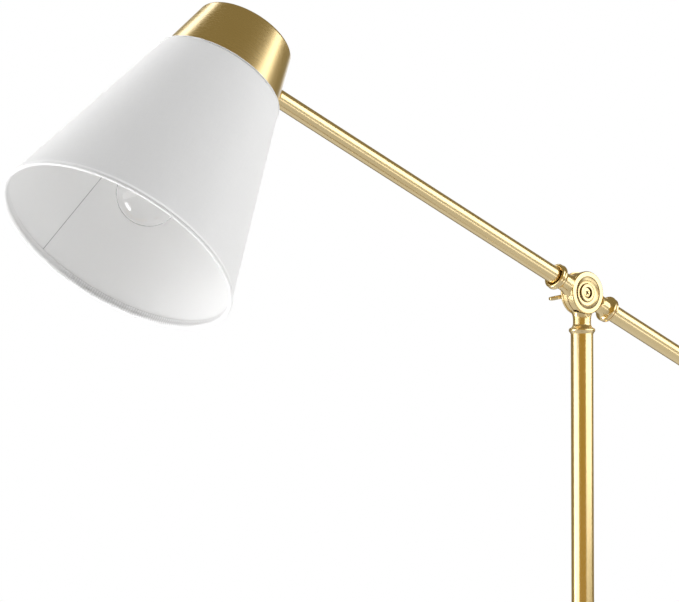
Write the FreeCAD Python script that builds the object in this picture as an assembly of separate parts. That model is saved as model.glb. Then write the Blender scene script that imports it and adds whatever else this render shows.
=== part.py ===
# Balanced-arm floor lamp: weighted round base, sectional pole, two-part swivel
# with a wing nut, tilting arm with a counterweight, and a tilting cone shade.
# Millimetres, +Z up, origin at the centre of the base's underside.
# The shade hangs toward -X and the turned face of the swivel looks toward -Y.
import FreeCAD, Part
import math
import os

os.makedirs("parts", exist_ok=True)

# Driving dimensions of the whole lamp
KNUCKLE_HEIGHT = 1260.0
ARM_ANGLE = 22.8
SHADE_ANGLE = 53.2
HEAD_REACH = 459.7
TAIL_REACH = 285.0
TILT_DOWN = 28.0
TILT_UP = 20.0

# Fits, clearances and the overrun that every cut shares
SLIDE_FIT = 0.05
RUN_FIT = 0.08
RUN_GAP = 0.4
SEAT_GAP = 0.1
OVERRUN = 5.0

# Tubes
POLE_RADIUS = 11.0
POLE_WALL = 1.2
ARM_RADIUS = 8.35
ARM_WALL = 1.0
WIRE_BORE = 3.2

# Threaded pipe that joins base to pole and socket to cap, and its nuts
PIPE_RADIUS = 5.0
PIPE_BORE = 3.5
PIPE_NUT_FLATS = 14.0
PIPE_NUT_THICKNESS = 3.5

# Swivel: two half drums on one screw
DRUM_RADIUS = 20.8
FACE_OFFSET = 8.6
FLANGE_THICKNESS = 2.8
FLANGE_STEP = 0.7
RIM_ROUND = 1.3
FACE_STEP = 0.4
FACE_DISH_DEPTH = 1.5
FACE_DISH_SHARE = 0.75
FACE_BOSS_SHARE = 0.44
FACE_BOSS_BEVEL = 0.5
FRICTION_WASHER_THICKNESS = 0.8
FRICTION_WASHER_WIDTH = 5.5
WIRE_CHAMBER_DEPTH = 4.0
WIRE_CHAMBER_OUTER = 13.0
WIRE_CHAMBER_INNER = 6.5

# Pivot screw of the swivel
SCREW_RADIUS = 3.0
SCREW_HEAD_RADIUS = 5.1
SCREW_HEAD_THICKNESS = 3.0
SCREW_HEAD_SINK = 1.1
SCREW_HEAD_FIT = 0.3
SCREW_TIP_LENGTH = 3.0
CROSS_SLOT_LENGTH = 6.2
CROSS_SLOT_WIDTH = 1.3
CROSS_SLOT_DEPTH = 1.6

# Necks and turned collars, as distances from the pivot along each tube
NECK_ROOT = 16.0
NECK_ROOT_RADIUS = 12.2
NECK_WAIST = 25.5
NECK_WAIST_RADIUS = 8.8
NECK_END = 29.4
SPIGOT_RADIUS = 6.6
SPIGOT_DEPTH = 20.0
COLLAR_SHOULDER = 4.0
FLARE_RADIUS = 11.3
BEAD_PLACE = 36.0
BEAD_RADIUS = 12.9
BEAD_HALF = 2.1
BEAD_ROOT_RADIUS = 11.8
COLLAR_END = 39.6
MOUTH_RADIUS = 12.5
MOUTH_LIP = 1.0
MOUTH_GAP = 1.2

# Wing nut
WING_HUB_RADIUS = 6.4
WING_HUB_TOP_RADIUS = 5.0
WING_HUB_HEIGHT = 8.0
WING_SPAN = 20.5
WING_RISE = 18.5
WING_TIP_RADIUS = 4.2
WING_THICKNESS = 3.2
WING_ROOT = 1.5
WING_DROOP = 15.0

# Pole joints and foot
COUPLING_BAND = 9.0
COUPLING_SPIGOT = 25.0
FOOT_COLLAR_HEIGHT = 30.0
FOOT_FLANGE_RADIUS = 24.0
FOOT_FLANGE_THICKNESS = 4.0
FOOT_FLANGE_ROUND = 1.5
FOOT_WAIST_RADIUS = 11.6
FOOT_BEAD_HALF = 3.0
FOOT_BEAD_RADIUS = 14.2
FOOT_THREAD_DEPTH = 22.0

# Base
BASE_RADIUS = 140.0
COVER_THICKNESS = 1.5
COVER_SIDE_HEIGHT = 16.0
COVER_ROUND = 5.0
COVER_CROWN = 6.0
PAD_THICKNESS = 3.0
PAD_INSET = 3.0
WEIGHT_GAP = 1.0
WEIGHT_SIDE_HEIGHT = 12.0
WEIGHT_HUB_RADIUS = 30.0
NUT_WELL_RADIUS = 20.0
NUT_WELL_DEPTH = 8.0
BASE_WASHER_RADIUS = 16.0
BASE_WASHER_THICKNESS = 2.0
PIPE_TAIL = 1.5
WIREWAY_WIDTH = 8.0
WIREWAY_DEPTH = 7.0
BUSHING_RADIUS = 4.0
BUSHING_BORE = 2.6
BUSHING_LENGTH = 9.0
BUSHING_LIP_RADIUS = 5.2
BUSHING_LIP_THICKNESS = 1.6
BUSHING_CLEARANCE = 0.6

# Counterweight on the tail
TAIL_PLUG_DEPTH = 20.0
TAIL_STUD_RADIUS = 4.0
TAIL_STUD_LENGTH = 16.0
WEIGHT_RADIUS = 18.0
WEIGHT_LENGTH = 78.0
WEIGHT_EDGE = 3.0
WEIGHT_GROOVE_INSET = 9.0
WEIGHT_GROOVE_WIDTH = 2.0
WEIGHT_GROOVE_DEPTH = 1.0
WEIGHT_NOSE_RADIUS = 10.2
WEIGHT_NOSE_LENGTH = 5.0
WEIGHT_BUTTON_RADIUS = 6.0
WEIGHT_BUTTON_RISE = 4.0

# Cap of the head, measured up the shade's axis from the cap's open edge
CAP_BASE_RADIUS = 59.9
CAP_TOP_RADIUS = 46.8
CAP_HEIGHT = 55.8
CAP_THICKNESS = 1.2
CAP_EDGE_ROUND = 4.0
SLOT_WIDTH = 8.0
SLOT_GAP = 1.0

# Head pivot: place in the head, yoke, bolt, and the tongue on the arm
PIVOT_OFFSET = 27.1
PIVOT_HEIGHT = 25.8
TONGUE_THICKNESS = 6.0
TONGUE_WIDTH = 10.0
EYE_RADIUS = 7.5
PLUG_DEPTH = 18.0
YOKE_THICKNESS = 2.5
YOKE_EAR_RADIUS = 8.5
YOKE_HUB_RADIUS = 11.0
YOKE_LIFT = 8.0
PIVOT_BOLT_RADIUS = 3.0
PIVOT_BOLT_HEAD_FLATS = 10.0
PIVOT_BOLT_HEAD_THICKNESS = 4.0
PIVOT_NUT_THICKNESS = 5.0
PIVOT_WASHER_THICKNESS = 1.0
PIVOT_WASHER_RADIUS = 7.0

# Cap nut on top of the head
CAP_NUT_RADIUS = 9.0
CAP_NUT_HEIGHT = 7.0
CAP_NUT_ROUND = 2.0
CAP_NUT_ROOF = 2.0

# Shade
RIM_RADIUS = 116.2
SHADE_TOP_RADIUS = 63.2
SHADE_LENGTH = 196.4
FABRIC_THICKNESS = 0.8
LINING_THICKNESS = 0.6
BINDING_THICKNESS = 3.0
BINDING_HEIGHT = 5.0
RIM_WIRE_RADIUS = 0.9
SPIDER_WIRE_RADIUS = 1.5
SPIDER_HUB_RADIUS = 9.5
SPIDER_HUB_THICKNESS = 2.0
SPIDER_SPOKES = 3
SPIDER_DROP = 4.0

# Lamp socket and bulb, measured down the shade's axis
BULB_RADIUS = 30.0
BULB_RIM_SETBACK = 33.0
BULB_NECK_RADIUS = 13.4
BULB_SHOULDER_RADIUS = 45.0
BULB_GLASS = 0.9
BULB_LENGTH = 108.0
BULB_BASE_RADIUS = 13.1
BULB_BASE_LENGTH = 24.0
BULB_BASE_WALL = 0.8
BULB_TIP_LENGTH = 3.0
BULB_TIP_RADIUS = 5.0
STEM_RADIUS = 5.0
STEM_LENGTH = 38.0
STEM_BUTTON_RADIUS = 2.2
FILAMENT_RADIUS = 0.5
FILAMENT_SPREAD = 11.0
FILAMENT_RISE = 16.0
SOCKET_RADIUS = 18.5
SOCKET_WALL = 2.6
SOCKET_LENGTH = 46.0
SOCKET_FLOOR = 6.0
SOCKET_LIP = 1.5
SHELL_THICKNESS = 0.5
SHELL_LENGTH = 24.0
SOCKET_CAP_LENGTH = 14.0
SOCKET_CAP_HUB_RADIUS = 9.0
SOCKET_CAP_WALL = 1.5
SOCKET_THREAD_DEPTH = 8.0
CONTACT_WIDTH = 6.0
CONTACT_THICKNESS = 0.8

# Places worked out from the sizes above
HALF_GAP = FRICTION_WASHER_THICKNESS / 2 + SEAT_GAP / 2
POLE_BORE = POLE_RADIUS - POLE_WALL
ARM_BORE = ARM_RADIUS - ARM_WALL
TUBE_SEAT = NECK_END + COLLAR_SHOULDER
SCREW_HOLE = SCREW_RADIUS + RUN_FIT
TAPER = math.degrees(math.atan((CAP_BASE_RADIUS - CAP_TOP_RADIUS) / CAP_HEIGHT))
COS_TAPER = math.cos(math.radians(TAPER))
WALL_SPAN = (CAP_BASE_RADIUS - PIVOT_OFFSET) * COS_TAPER - PIVOT_HEIGHT * math.sin(math.radians(TAPER))
COS_DOWN = math.cos(math.radians(TILT_DOWN))
SIN_DOWN = math.sin(math.radians(TILT_DOWN))
TUBE_STANDOFF = (WALL_SPAN + SLOT_GAP + ARM_RADIUS * SIN_DOWN) / COS_DOWN
NOSE_STANDOFF = (WALL_SPAN + SLOT_GAP + TONGUE_WIDTH / 2 * SIN_DOWN) / COS_DOWN
ARM_TUBE_END = HEAD_REACH - TUBE_STANDOFF
CONE_ANGLE = math.degrees(math.atan((RIM_RADIUS - SHADE_TOP_RADIUS) / SHADE_LENGTH))
BASE_TOP = PAD_THICKNESS / 2 + COVER_SIDE_HEIGHT + COVER_CROWN
POLE_BOTTOM = BASE_TOP + FOOT_COLLAR_HEIGHT
POLE_TOP = KNUCKLE_HEIGHT - COLLAR_END
POLE_SECTION = (POLE_TOP - POLE_BOTTOM - 2 * COUPLING_BAND) / 3
HEAD_PIPE_TOP = CAP_HEIGHT + CAP_NUT_HEIGHT - CAP_NUT_ROOF - SEAT_GAP
BULB_TIP = -SHADE_LENGTH + BULB_RIM_SETBACK
BULB_CENTRE = BULB_TIP + BULB_RADIUS
BULB_CONTACT = BULB_TIP + BULB_LENGTH
SOCKET_TOP = BULB_CONTACT + CONTACT_THICKNESS + SOCKET_FLOOR
SOCKET_CAP_TOP = SOCKET_TOP + SOCKET_CAP_LENGTH - SOCKET_LIP
HEAD_PIPE_BOTTOM = SOCKET_CAP_TOP - SOCKET_THREAD_DEPTH

UP = FreeCAD.Vector(0, 0, 1)
CROSSWISE = FreeCAD.Vector(0, 1, 0)
LENGTHWISE = FreeCAD.Vector(1, 0, 0)
ORIGIN = FreeCAD.Vector(0, 0, 0)


# Helpers
def outline_wire(points):
    """Closed wire in the XZ plane. A point is (radius, height); an arc is
    (through radius, through height, end radius, end height)."""
    vectors = [FreeCAD.Vector(p[-2], 0, p[-1]) for p in points]
    edges = []
    for index, point in enumerate(points):
        start = vectors[index - 1]
        end = vectors[index]
        if len(point) == 4:
            through = FreeCAD.Vector(point[0], 0, point[1])
            edges.append(Part.Arc(start, through, end).toShape())
        elif start.distanceToPoint(end) > 0:
            edges.append(Part.makeLine(start, end))
    return Part.Wire(edges)


def turned(points):
    """Solid of revolution about Z from an outline of radius and height."""
    return Part.Face(outline_wire(points)).revolve(ORIGIN, UP, 360)


def dome(radius, low, rise):
    """Arc of an outline from a rim up to the axis, as a spherical cap."""
    sphere = (radius ** 2 + rise ** 2) / (2 * rise)
    half = math.asin(radius / sphere) / 2
    return (sphere * math.sin(half), low + rise - sphere * (1 - math.cos(half)), 0, low + rise)


def cove(waist_radius, waist_z, end_radius, end_z):
    """Middle point of a hollow curve that leaves a waist upright and widens to its end."""
    widening = end_radius - waist_radius
    run = end_z - waist_z
    curve = (widening ** 2 + run ** 2) / (2 * widening)
    half = math.asin(abs(run) / curve) / 2
    return waist_radius + curve * (1 - math.cos(half)), waist_z + math.copysign(curve * math.sin(half), run)


def rod(radius, low, high):
    """Round bar about Z between two heights."""
    return Part.makeCylinder(radius, high - low, FreeCAD.Vector(0, 0, low))


def tube(radius, bore, low, high):
    """Round tube about Z between two heights."""
    return rod(radius, low, high).cut(rod(bore, low - OVERRUN, high + OVERRUN))


def block(x_low, x_high, y_half, z_low, z_high):
    """Box centred across Y."""
    corner = FreeCAD.Vector(x_low, -y_half, z_low)
    return Part.makeBox(x_high - x_low, 2 * y_half, z_high - z_low, corner)


def hexagon(flats, low, high):
    """Six-sided bar about Z, given its size across flats."""
    reach = flats / math.sqrt(3)
    corners = []
    for step in range(7):
        angle = math.radians(60 * step)
        corners.append(FreeCAD.Vector(reach * math.cos(angle), reach * math.sin(angle), low))
    face = Part.Face(Part.makePolygon(corners))
    return face.extrude(FreeCAD.Vector(0, 0, high - low))


def hex_nut(flats, bore, low, high):
    """Hexagon nut about Z with its corners turned off at both ends."""
    reach = flats / math.sqrt(3)
    corner = reach - flats / 2
    barrel = turned([(0, low), (flats / 2, low), (reach, low + corner / 2),
                     (reach, high - corner / 2), (flats / 2, high), (0, high)])
    nut = hexagon(flats, low, high).common(barrel)
    return nut.cut(rod(bore, low - OVERRUN, high + OVERRUN))


def along(shape, angle, centre):
    """Turn a piece modelled along +Z about the Y axis, then move it into place."""
    placed = shape.copy()
    placed.rotate(ORIGIN, CROSSWISE, angle)
    placed.translate(centre)
    return placed


def facing(shape, side):
    """Lay a piece modelled along +Z along -Y (side -1) or +Y (side 1)."""
    placed = shape.copy()
    placed.rotate(ORIGIN, LENGTHWISE, -90 * side)
    return placed


def crosswise(shape, x_place, z_place):
    """Lay a piece modelled along +Z along +Y through a place in the XZ plane."""
    placed = facing(shape, 1)
    placed.translate(FreeCAD.Vector(x_place, 0, z_place))
    return placed


KNUCKLE = FreeCAD.Vector(0, 0, KNUCKLE_HEIGHT)
ARM_TURN = ARM_ANGLE - 90
TAIL_TURN = ARM_ANGLE + 90
HEAD_TURN = 90 - SHADE_ANGLE


def on_arm(shape):
    """Piece modelled up Z from the swivel's pivot, laid along the arm."""
    return along(shape, ARM_TURN, KNUCKLE)


def on_tail(shape):
    """Piece modelled up Z from the swivel's pivot, laid along the tail."""
    return along(shape, TAIL_TURN, KNUCKLE)


def on_pole(shape):
    """Piece modelled up Z from the swivel's pivot, hung down the pole."""
    return along(shape, 180, KNUCKLE)


def head_origin():
    """Centre of the cap's open edge, found back from the head's pivot."""
    reach = FreeCAD.Vector(-math.cos(math.radians(ARM_ANGLE)), 0, math.sin(math.radians(ARM_ANGLE)))
    up_axis = FreeCAD.Vector(math.cos(math.radians(SHADE_ANGLE)), 0, math.sin(math.radians(SHADE_ANGLE)))
    outward = FreeCAD.Vector(up_axis.z, 0, -up_axis.x)
    pivot = KNUCKLE + reach * HEAD_REACH
    return pivot - outward * PIVOT_OFFSET - up_axis * PIVOT_HEIGHT


HEAD_CENTRE = head_origin()


def on_head(shape):
    """Piece modelled about the shade's axis, cap's open edge at zero."""
    return along(shape, HEAD_TURN, HEAD_CENTRE)


# Swivel
def drum_half():
    """Half drum about Z, its inner face at the washer and its turned face on top."""
    dish = DRUM_RADIUS * FACE_DISH_SHARE
    boss = DRUM_RADIUS * FACE_BOSS_SHARE
    dish_floor = FACE_OFFSET - FACE_DISH_DEPTH
    dish_side = FACE_OFFSET - FACE_STEP
    bowl = ((dish - boss) ** 2 + (dish_side - dish_floor) ** 2) / (2 * (dish_side - dish_floor))
    half = math.asin((dish - boss) / bowl) / 2
    head_well = SCREW_HEAD_RADIUS + SCREW_HEAD_FIT
    well_floor = FACE_OFFSET - SCREW_HEAD_SINK - SCREW_HEAD_THICKNESS - SEAT_GAP
    soft = RIM_ROUND * (1 - math.sqrt(1 / 2))
    body = DRUM_RADIUS - FLANGE_STEP
    flange = FACE_OFFSET - FLANGE_THICKNESS
    return turned([
        (SCREW_HOLE, HALF_GAP), (body, HALF_GAP), (body, flange), (DRUM_RADIUS, flange),
        (DRUM_RADIUS, FACE_OFFSET - RIM_ROUND),
        (DRUM_RADIUS - soft, FACE_OFFSET - soft, DRUM_RADIUS - RIM_ROUND, FACE_OFFSET),
        (dish, FACE_OFFSET), (dish, dish_side),
        (boss + bowl * math.sin(half), dish_floor + bowl * (1 - math.cos(half)), boss, dish_floor),
        (boss, FACE_OFFSET - FACE_BOSS_BEVEL), (boss - FACE_BOSS_BEVEL, FACE_OFFSET),
        (head_well, FACE_OFFSET), (head_well, well_floor), (SCREW_HOLE, well_floor)])


def neck():
    """Neck up Z from the drum, with the spigot that the collar and tube slide over."""
    hollow = cove(NECK_WAIST_RADIUS, NECK_WAIST, NECK_ROOT_RADIUS, NECK_ROOT)
    return turned([
        (0, NECK_ROOT), (NECK_ROOT_RADIUS, NECK_ROOT),
        (hollow[0], hollow[1], NECK_WAIST_RADIUS, NECK_WAIST),
        (NECK_WAIST_RADIUS, NECK_END), (SPIGOT_RADIUS, NECK_END),
        (SPIGOT_RADIUS, NECK_END + SPIGOT_DEPTH), (0, NECK_END + SPIGOT_DEPTH)])


def swivel_half(side, neck_turns):
    """Half drum on one side of the mid plane with necks at the turns given."""
    half = facing(drum_half(), side)
    other_side = facing(rod(DRUM_RADIUS + RUN_GAP, -HALF_GAP, FACE_OFFSET + OVERRUN), -side)
    beyond_face = facing(rod(DRUM_RADIUS + RUN_GAP, FACE_OFFSET - RIM_ROUND, FACE_OFFSET + OVERRUN), side)
    wireways = []
    for turn in neck_turns:
        stub = along(neck(), turn, ORIGIN).cut(other_side).cut(beyond_face)
        half = half.fuse(stub)
        wireways.append(along(rod(WIRE_BORE, WIRE_CHAMBER_INNER, NECK_END + SPIGOT_DEPTH + OVERRUN),
                              turn, ORIGIN))
    chamber = facing(tube(WIRE_CHAMBER_OUTER, WIRE_CHAMBER_INNER, -OVERRUN, HALF_GAP + WIRE_CHAMBER_DEPTH),
                     side)
    half = half.cut(chamber)
    for wireway in wireways:
        half = half.cut(wireway)
    placed = half.removeSplitter()
    placed.translate(KNUCKLE)
    return placed


def friction_washer():
    """Fibre washer between the two half drums."""
    outer = DRUM_RADIUS - RIM_ROUND
    washer = tube(outer, outer - FRICTION_WASHER_WIDTH,
                  -FRICTION_WASHER_THICKNESS / 2, FRICTION_WASHER_THICKNESS / 2)
    placed = facing(washer, -1)
    placed.translate(KNUCKLE)
    return placed


def wing_seat():
    """Distance from the mid plane to the face under the wing nut."""
    return FACE_OFFSET + SEAT_GAP


def pivot_screw():
    """Countersunk pivot screw with a cross recess, head in the front half's well."""
    head_top = FACE_OFFSET - SCREW_HEAD_SINK
    head_floor = head_top - SCREW_HEAD_THICKNESS
    tip = -(wing_seat() + WING_HUB_HEIGHT + SCREW_TIP_LENGTH)
    screw = turned([
        (0, tip), (SCREW_RADIUS - FACE_BOSS_BEVEL, tip), (SCREW_RADIUS, tip + FACE_BOSS_BEVEL),
        (SCREW_RADIUS, head_floor), (SCREW_HEAD_RADIUS, head_floor),
        (SCREW_HEAD_RADIUS, head_top - FACE_BOSS_BEVEL), (SCREW_HEAD_RADIUS - FACE_BOSS_BEVEL, head_top),
        (0, head_top)])
    slot = block(-CROSS_SLOT_LENGTH / 2, CROSS_SLOT_LENGTH / 2, CROSS_SLOT_WIDTH / 2,
                 head_top - CROSS_SLOT_DEPTH, head_top + OVERRUN)
    for quarter in range(2):
        turned_slot = slot.copy()
        turned_slot.rotate(ORIGIN, UP, 90 * quarter)
        screw = screw.cut(turned_slot)
    placed = facing(screw, -1)
    placed.translate(KNUCKLE)
    return placed


def wing_outline():
    """Face of one wing in the XZ plane, from inside the hub to the rounded tip."""
    tip_x = WING_SPAN - WING_TIP_RADIUS
    tip_z = WING_RISE - WING_TIP_RADIUS
    sweep = math.radians(45)
    lower = (tip_x + WING_TIP_RADIUS * math.sin(sweep), tip_z - WING_TIP_RADIUS * math.cos(sweep))
    upper = (tip_x - WING_TIP_RADIUS * math.sin(sweep), tip_z + WING_TIP_RADIUS * math.cos(sweep))
    far = (tip_x + WING_TIP_RADIUS * math.cos(sweep), tip_z + WING_TIP_RADIUS * math.sin(sweep))
    root = SCREW_HOLE + WING_ROOT
    return outline_wire([
        (root, WING_ROOT), (WING_HUB_RADIUS, WING_ROOT),
        ((WING_HUB_RADIUS + lower[0]) / 2 + WING_ROOT / 2, (WING_ROOT + lower[1]) / 2 - WING_ROOT,
         lower[0], lower[1]),
        (far[0], far[1], upper[0], upper[1]),
        ((WING_HUB_RADIUS + upper[0]) / 2, (WING_HUB_HEIGHT + upper[1]) / 2 - WING_ROOT,
         WING_HUB_TOP_RADIUS, WING_HUB_HEIGHT),
        (root, WING_HUB_HEIGHT)])


def wing_nut():
    """Wing nut: tapered hub with two swept wings, its hole running on the screw."""
    nut = turned([
        (0, 0), (WING_HUB_RADIUS, 0), (WING_HUB_RADIUS, WING_ROOT),
        (WING_HUB_TOP_RADIUS, WING_HUB_HEIGHT), (0, WING_HUB_HEIGHT)])
    wing = Part.Face(wing_outline()).extrude(FreeCAD.Vector(0, WING_THICKNESS, 0))
    wing.translate(FreeCAD.Vector(0, -WING_THICKNESS / 2, 0))
    other = wing.copy()
    other.rotate(ORIGIN, UP, 180)
    nut = nut.fuse(wing).fuse(other)
    nut = nut.cut(rod(SCREW_HOLE, -OVERRUN, WING_HUB_HEIGHT + OVERRUN)).removeSplitter()
    placed = facing(nut, 1)
    placed.translate(FreeCAD.Vector(0, wing_seat(), 0))
    placed.rotate(ORIGIN, CROSSWISE, -WING_DROOP)
    placed.translate(KNUCKLE)
    return placed


def collar(mouth):
    """Turned collar up Z: hollow flare and bead, then the mouth's own outline."""
    bore = SPIGOT_RADIUS + SLIDE_FIT
    bead_start = BEAD_PLACE - BEAD_HALF
    hollow = cove(NECK_WAIST_RADIUS, NECK_END, FLARE_RADIUS, bead_start)
    return turned([
        (bore, NECK_END), (NECK_WAIST_RADIUS, NECK_END),
        (hollow[0], hollow[1], FLARE_RADIUS, bead_start), (BEAD_ROOT_RADIUS, bead_start),
        (BEAD_RADIUS, BEAD_PLACE, BEAD_ROOT_RADIUS, BEAD_PLACE + BEAD_HALF)] + mouth)


def lipped_collar():
    """Collar of the arm and tail: an open mouth with a rolled lip round the tube."""
    inner = ARM_RADIUS + MOUTH_GAP
    return collar([
        (MOUTH_RADIUS, BEAD_PLACE + BEAD_HALF), (MOUTH_RADIUS, COLLAR_END),
        ((inner + MOUTH_RADIUS) / 2, COLLAR_END + MOUTH_LIP, inner, COLLAR_END),
        (inner, TUBE_SEAT), (SPIGOT_RADIUS + SLIDE_FIT, TUBE_SEAT)])


def pole_collar():
    """Collar at the top of the pole: the pole butts against it, over its sleeve."""
    sleeve = POLE_BORE - SLIDE_FIT
    return collar([
        (POLE_RADIUS, COLLAR_END), (sleeve, COLLAR_END), (sleeve, NECK_END + SPIGOT_DEPTH),
        (SPIGOT_RADIUS + SLIDE_FIT, NECK_END + SPIGOT_DEPTH)])


# Arm and tail
def arm_tube():
    """Arm tube from its seat in the collar to the head's fitting."""
    return tube(ARM_RADIUS, ARM_BORE, TUBE_SEAT, ARM_TUBE_END)


def arm_end_fitting():
    """Plug in the arm's end, with the flat tongue and eye that the head tilts on."""
    plug = ARM_BORE - SLIDE_FIT
    nose_end = HEAD_REACH - NOSE_STANDOFF
    body = turned([
        (0, ARM_TUBE_END - PLUG_DEPTH), (plug, ARM_TUBE_END - PLUG_DEPTH), (plug, ARM_TUBE_END),
        (ARM_RADIUS, ARM_TUBE_END), (TONGUE_WIDTH / 2, nose_end), (0, nose_end)])
    tongue = Part.makeBox(TONGUE_WIDTH, TONGUE_THICKNESS, HEAD_REACH - ARM_TUBE_END,
                          FreeCAD.Vector(-TONGUE_WIDTH / 2, -TONGUE_THICKNESS / 2, ARM_TUBE_END))
    inside_nose = rod(math.hypot(TONGUE_WIDTH / 2, TONGUE_THICKNESS / 2), nose_end, HEAD_REACH)
    eye = crosswise(rod(EYE_RADIUS, -TONGUE_THICKNESS / 2, TONGUE_THICKNESS / 2), 0, HEAD_REACH)
    through = TONGUE_THICKNESS + OVERRUN
    hole = crosswise(rod(PIVOT_BOLT_RADIUS + RUN_FIT, -through, through), 0, HEAD_REACH)
    fitting = body.fuse(tongue.common(inside_nose)).fuse(eye).cut(hole)
    wireway = rod(WIRE_BORE / 2, ARM_TUBE_END - PLUG_DEPTH - OVERRUN, nose_end + SPIGOT_RADIUS)
    return fitting.cut(wireway).removeSplitter()


def tail_tube():
    """Tail tube from its seat in the collar to the counterweight."""
    return tube(ARM_RADIUS, ARM_BORE, TUBE_SEAT, TAIL_REACH)


def tail_plug():
    """Plug in the tail's end with the stud that carries the counterweight."""
    plug = ARM_BORE - SLIDE_FIT
    return turned([
        (0, TAIL_REACH - TAIL_PLUG_DEPTH), (plug, TAIL_REACH - TAIL_PLUG_DEPTH),
        (plug, TAIL_REACH), (TAIL_STUD_RADIUS, TAIL_REACH),
        (TAIL_STUD_RADIUS, TAIL_REACH + TAIL_STUD_LENGTH), (0, TAIL_REACH + TAIL_STUD_LENGTH)])


def counterweight():
    """Turned counterweight with a nose, two grooves and a button end."""
    shoulder = TAIL_REACH + WEIGHT_NOSE_LENGTH
    end = shoulder + WEIGHT_LENGTH
    bore = TAIL_STUD_RADIUS + SLIDE_FIT
    depth = TAIL_REACH + TAIL_STUD_LENGTH + SEAT_GAP
    near = shoulder + WEIGHT_GROOVE_INSET
    far = end - WEIGHT_GROOVE_INSET
    floor = WEIGHT_RADIUS - WEIGHT_GROOVE_DEPTH
    return turned([
        (bore, TAIL_REACH), (ARM_RADIUS, TAIL_REACH), (WEIGHT_NOSE_RADIUS, shoulder),
        (WEIGHT_RADIUS - WEIGHT_EDGE, shoulder), (WEIGHT_RADIUS, shoulder + WEIGHT_EDGE),
        (WEIGHT_RADIUS, near), (floor, near + WEIGHT_GROOVE_WIDTH / 2),
        (WEIGHT_RADIUS, near + WEIGHT_GROOVE_WIDTH), (WEIGHT_RADIUS, far - WEIGHT_GROOVE_WIDTH),
        (floor, far - WEIGHT_GROOVE_WIDTH / 2), (WEIGHT_RADIUS, far),
        (WEIGHT_RADIUS, end - WEIGHT_EDGE), (WEIGHT_RADIUS - WEIGHT_EDGE, end),
        (WEIGHT_BUTTON_RADIUS, end), dome(WEIGHT_BUTTON_RADIUS, end, WEIGHT_BUTTON_RISE),
        (0, depth), (bore, depth)])


# Pole
def pole_section(number):
    """One of the three pole tubes, counted from the base."""
    low = POLE_BOTTOM + number * (POLE_SECTION + COUPLING_BAND)
    return tube(POLE_RADIUS, POLE_BORE, low, low + POLE_SECTION)


def pole_coupling(number):
    """Beaded coupling above a pole tube, with a spigot into each neighbour."""
    low = POLE_BOTTOM + (number + 1) * POLE_SECTION + number * COUPLING_BAND
    high = low + COUPLING_BAND
    sleeve = POLE_BORE - SLIDE_FIT
    bore = sleeve - 2 * POLE_WALL
    rise = BEAD_RADIUS - POLE_RADIUS
    return turned([
        (bore, low - COUPLING_SPIGOT), (sleeve, low - COUPLING_SPIGOT), (sleeve, low),
        (POLE_RADIUS, low), (BEAD_ROOT_RADIUS, low + rise), (BEAD_ROOT_RADIUS, (low + high) / 2 - BEAD_HALF),
        (BEAD_RADIUS, (low + high) / 2, BEAD_ROOT_RADIUS, (low + high) / 2 + BEAD_HALF),
        (BEAD_ROOT_RADIUS, high - rise), (POLE_RADIUS, high), (sleeve, high),
        (sleeve, high + COUPLING_SPIGOT), (bore, high + COUPLING_SPIGOT)])


def pole_foot_collar():
    """Turned collar that seats the pole on the base, tapped for the threaded pipe."""
    seat = BASE_TOP
    top = POLE_BOTTOM
    bead = top - FOOT_BEAD_HALF - FOOT_FLANGE_ROUND
    sleeve = POLE_BORE - SLIDE_FIT
    bore = PIPE_RADIUS + SLIDE_FIT
    flange_top = seat + FOOT_FLANGE_THICKNESS
    return turned([
        (bore, seat), (FOOT_FLANGE_RADIUS, seat), (FOOT_FLANGE_RADIUS, flange_top - FOOT_FLANGE_ROUND),
        (FOOT_FLANGE_RADIUS - FOOT_FLANGE_ROUND, flange_top),
        (FOOT_WAIST_RADIUS + FOOT_FLANGE_THICKNESS, flange_top),
        (FOOT_WAIST_RADIUS + FOOT_FLANGE_ROUND / 2, flange_top + FOOT_FLANGE_ROUND,
         FOOT_WAIST_RADIUS, flange_top + FOOT_FLANGE_THICKNESS),
        (FOOT_WAIST_RADIUS, bead - FOOT_BEAD_HALF),
        (FOOT_BEAD_RADIUS, bead, FOOT_WAIST_RADIUS, bead + FOOT_BEAD_HALF),
        (POLE_RADIUS, top), (sleeve, top), (sleeve, top + COUPLING_SPIGOT),
        (WIRE_BORE, top + COUPLING_SPIGOT), (WIRE_BORE, seat + FOOT_THREAD_DEPTH),
        (bore, seat + FOOT_THREAD_DEPTH)])


# Base
def base_cover():
    """Spun cover: low cone with a rounded edge and a short skirt, open below."""
    foot = PAD_THICKNESS / 2
    seat = FOOT_FLANGE_RADIUS + FOOT_FLANGE_ROUND
    edge = BASE_RADIUS - COVER_ROUND
    top_of_side = foot + COVER_SIDE_HEIGHT
    wall = COVER_THICKNESS
    corner = math.sqrt(0.5)
    outer = [
        (BASE_RADIUS, foot), (BASE_RADIUS, top_of_side - COVER_ROUND),
        (edge + COVER_ROUND * corner, top_of_side - COVER_ROUND + COVER_ROUND * corner, edge, top_of_side),
        (seat, BASE_TOP), (PIPE_RADIUS + SLIDE_FIT, BASE_TOP)]
    inner_round = COVER_ROUND - wall
    inner = [
        (PIPE_RADIUS + SLIDE_FIT, BASE_TOP - wall), (seat, BASE_TOP - wall), (edge, top_of_side - wall),
        (edge + inner_round * corner, top_of_side - COVER_ROUND + inner_round * corner,
         BASE_RADIUS - wall, top_of_side - COVER_ROUND),
        (BASE_RADIUS - wall, foot)]
    cover = turned(outer + inner)
    hole = along(rod(BUSHING_RADIUS + SLIDE_FIT, BASE_RADIUS - COVER_ROUND, BASE_RADIUS + OVERRUN),
                 90, FreeCAD.Vector(0, 0, bushing_height()))
    return cover.cut(hole)


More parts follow.
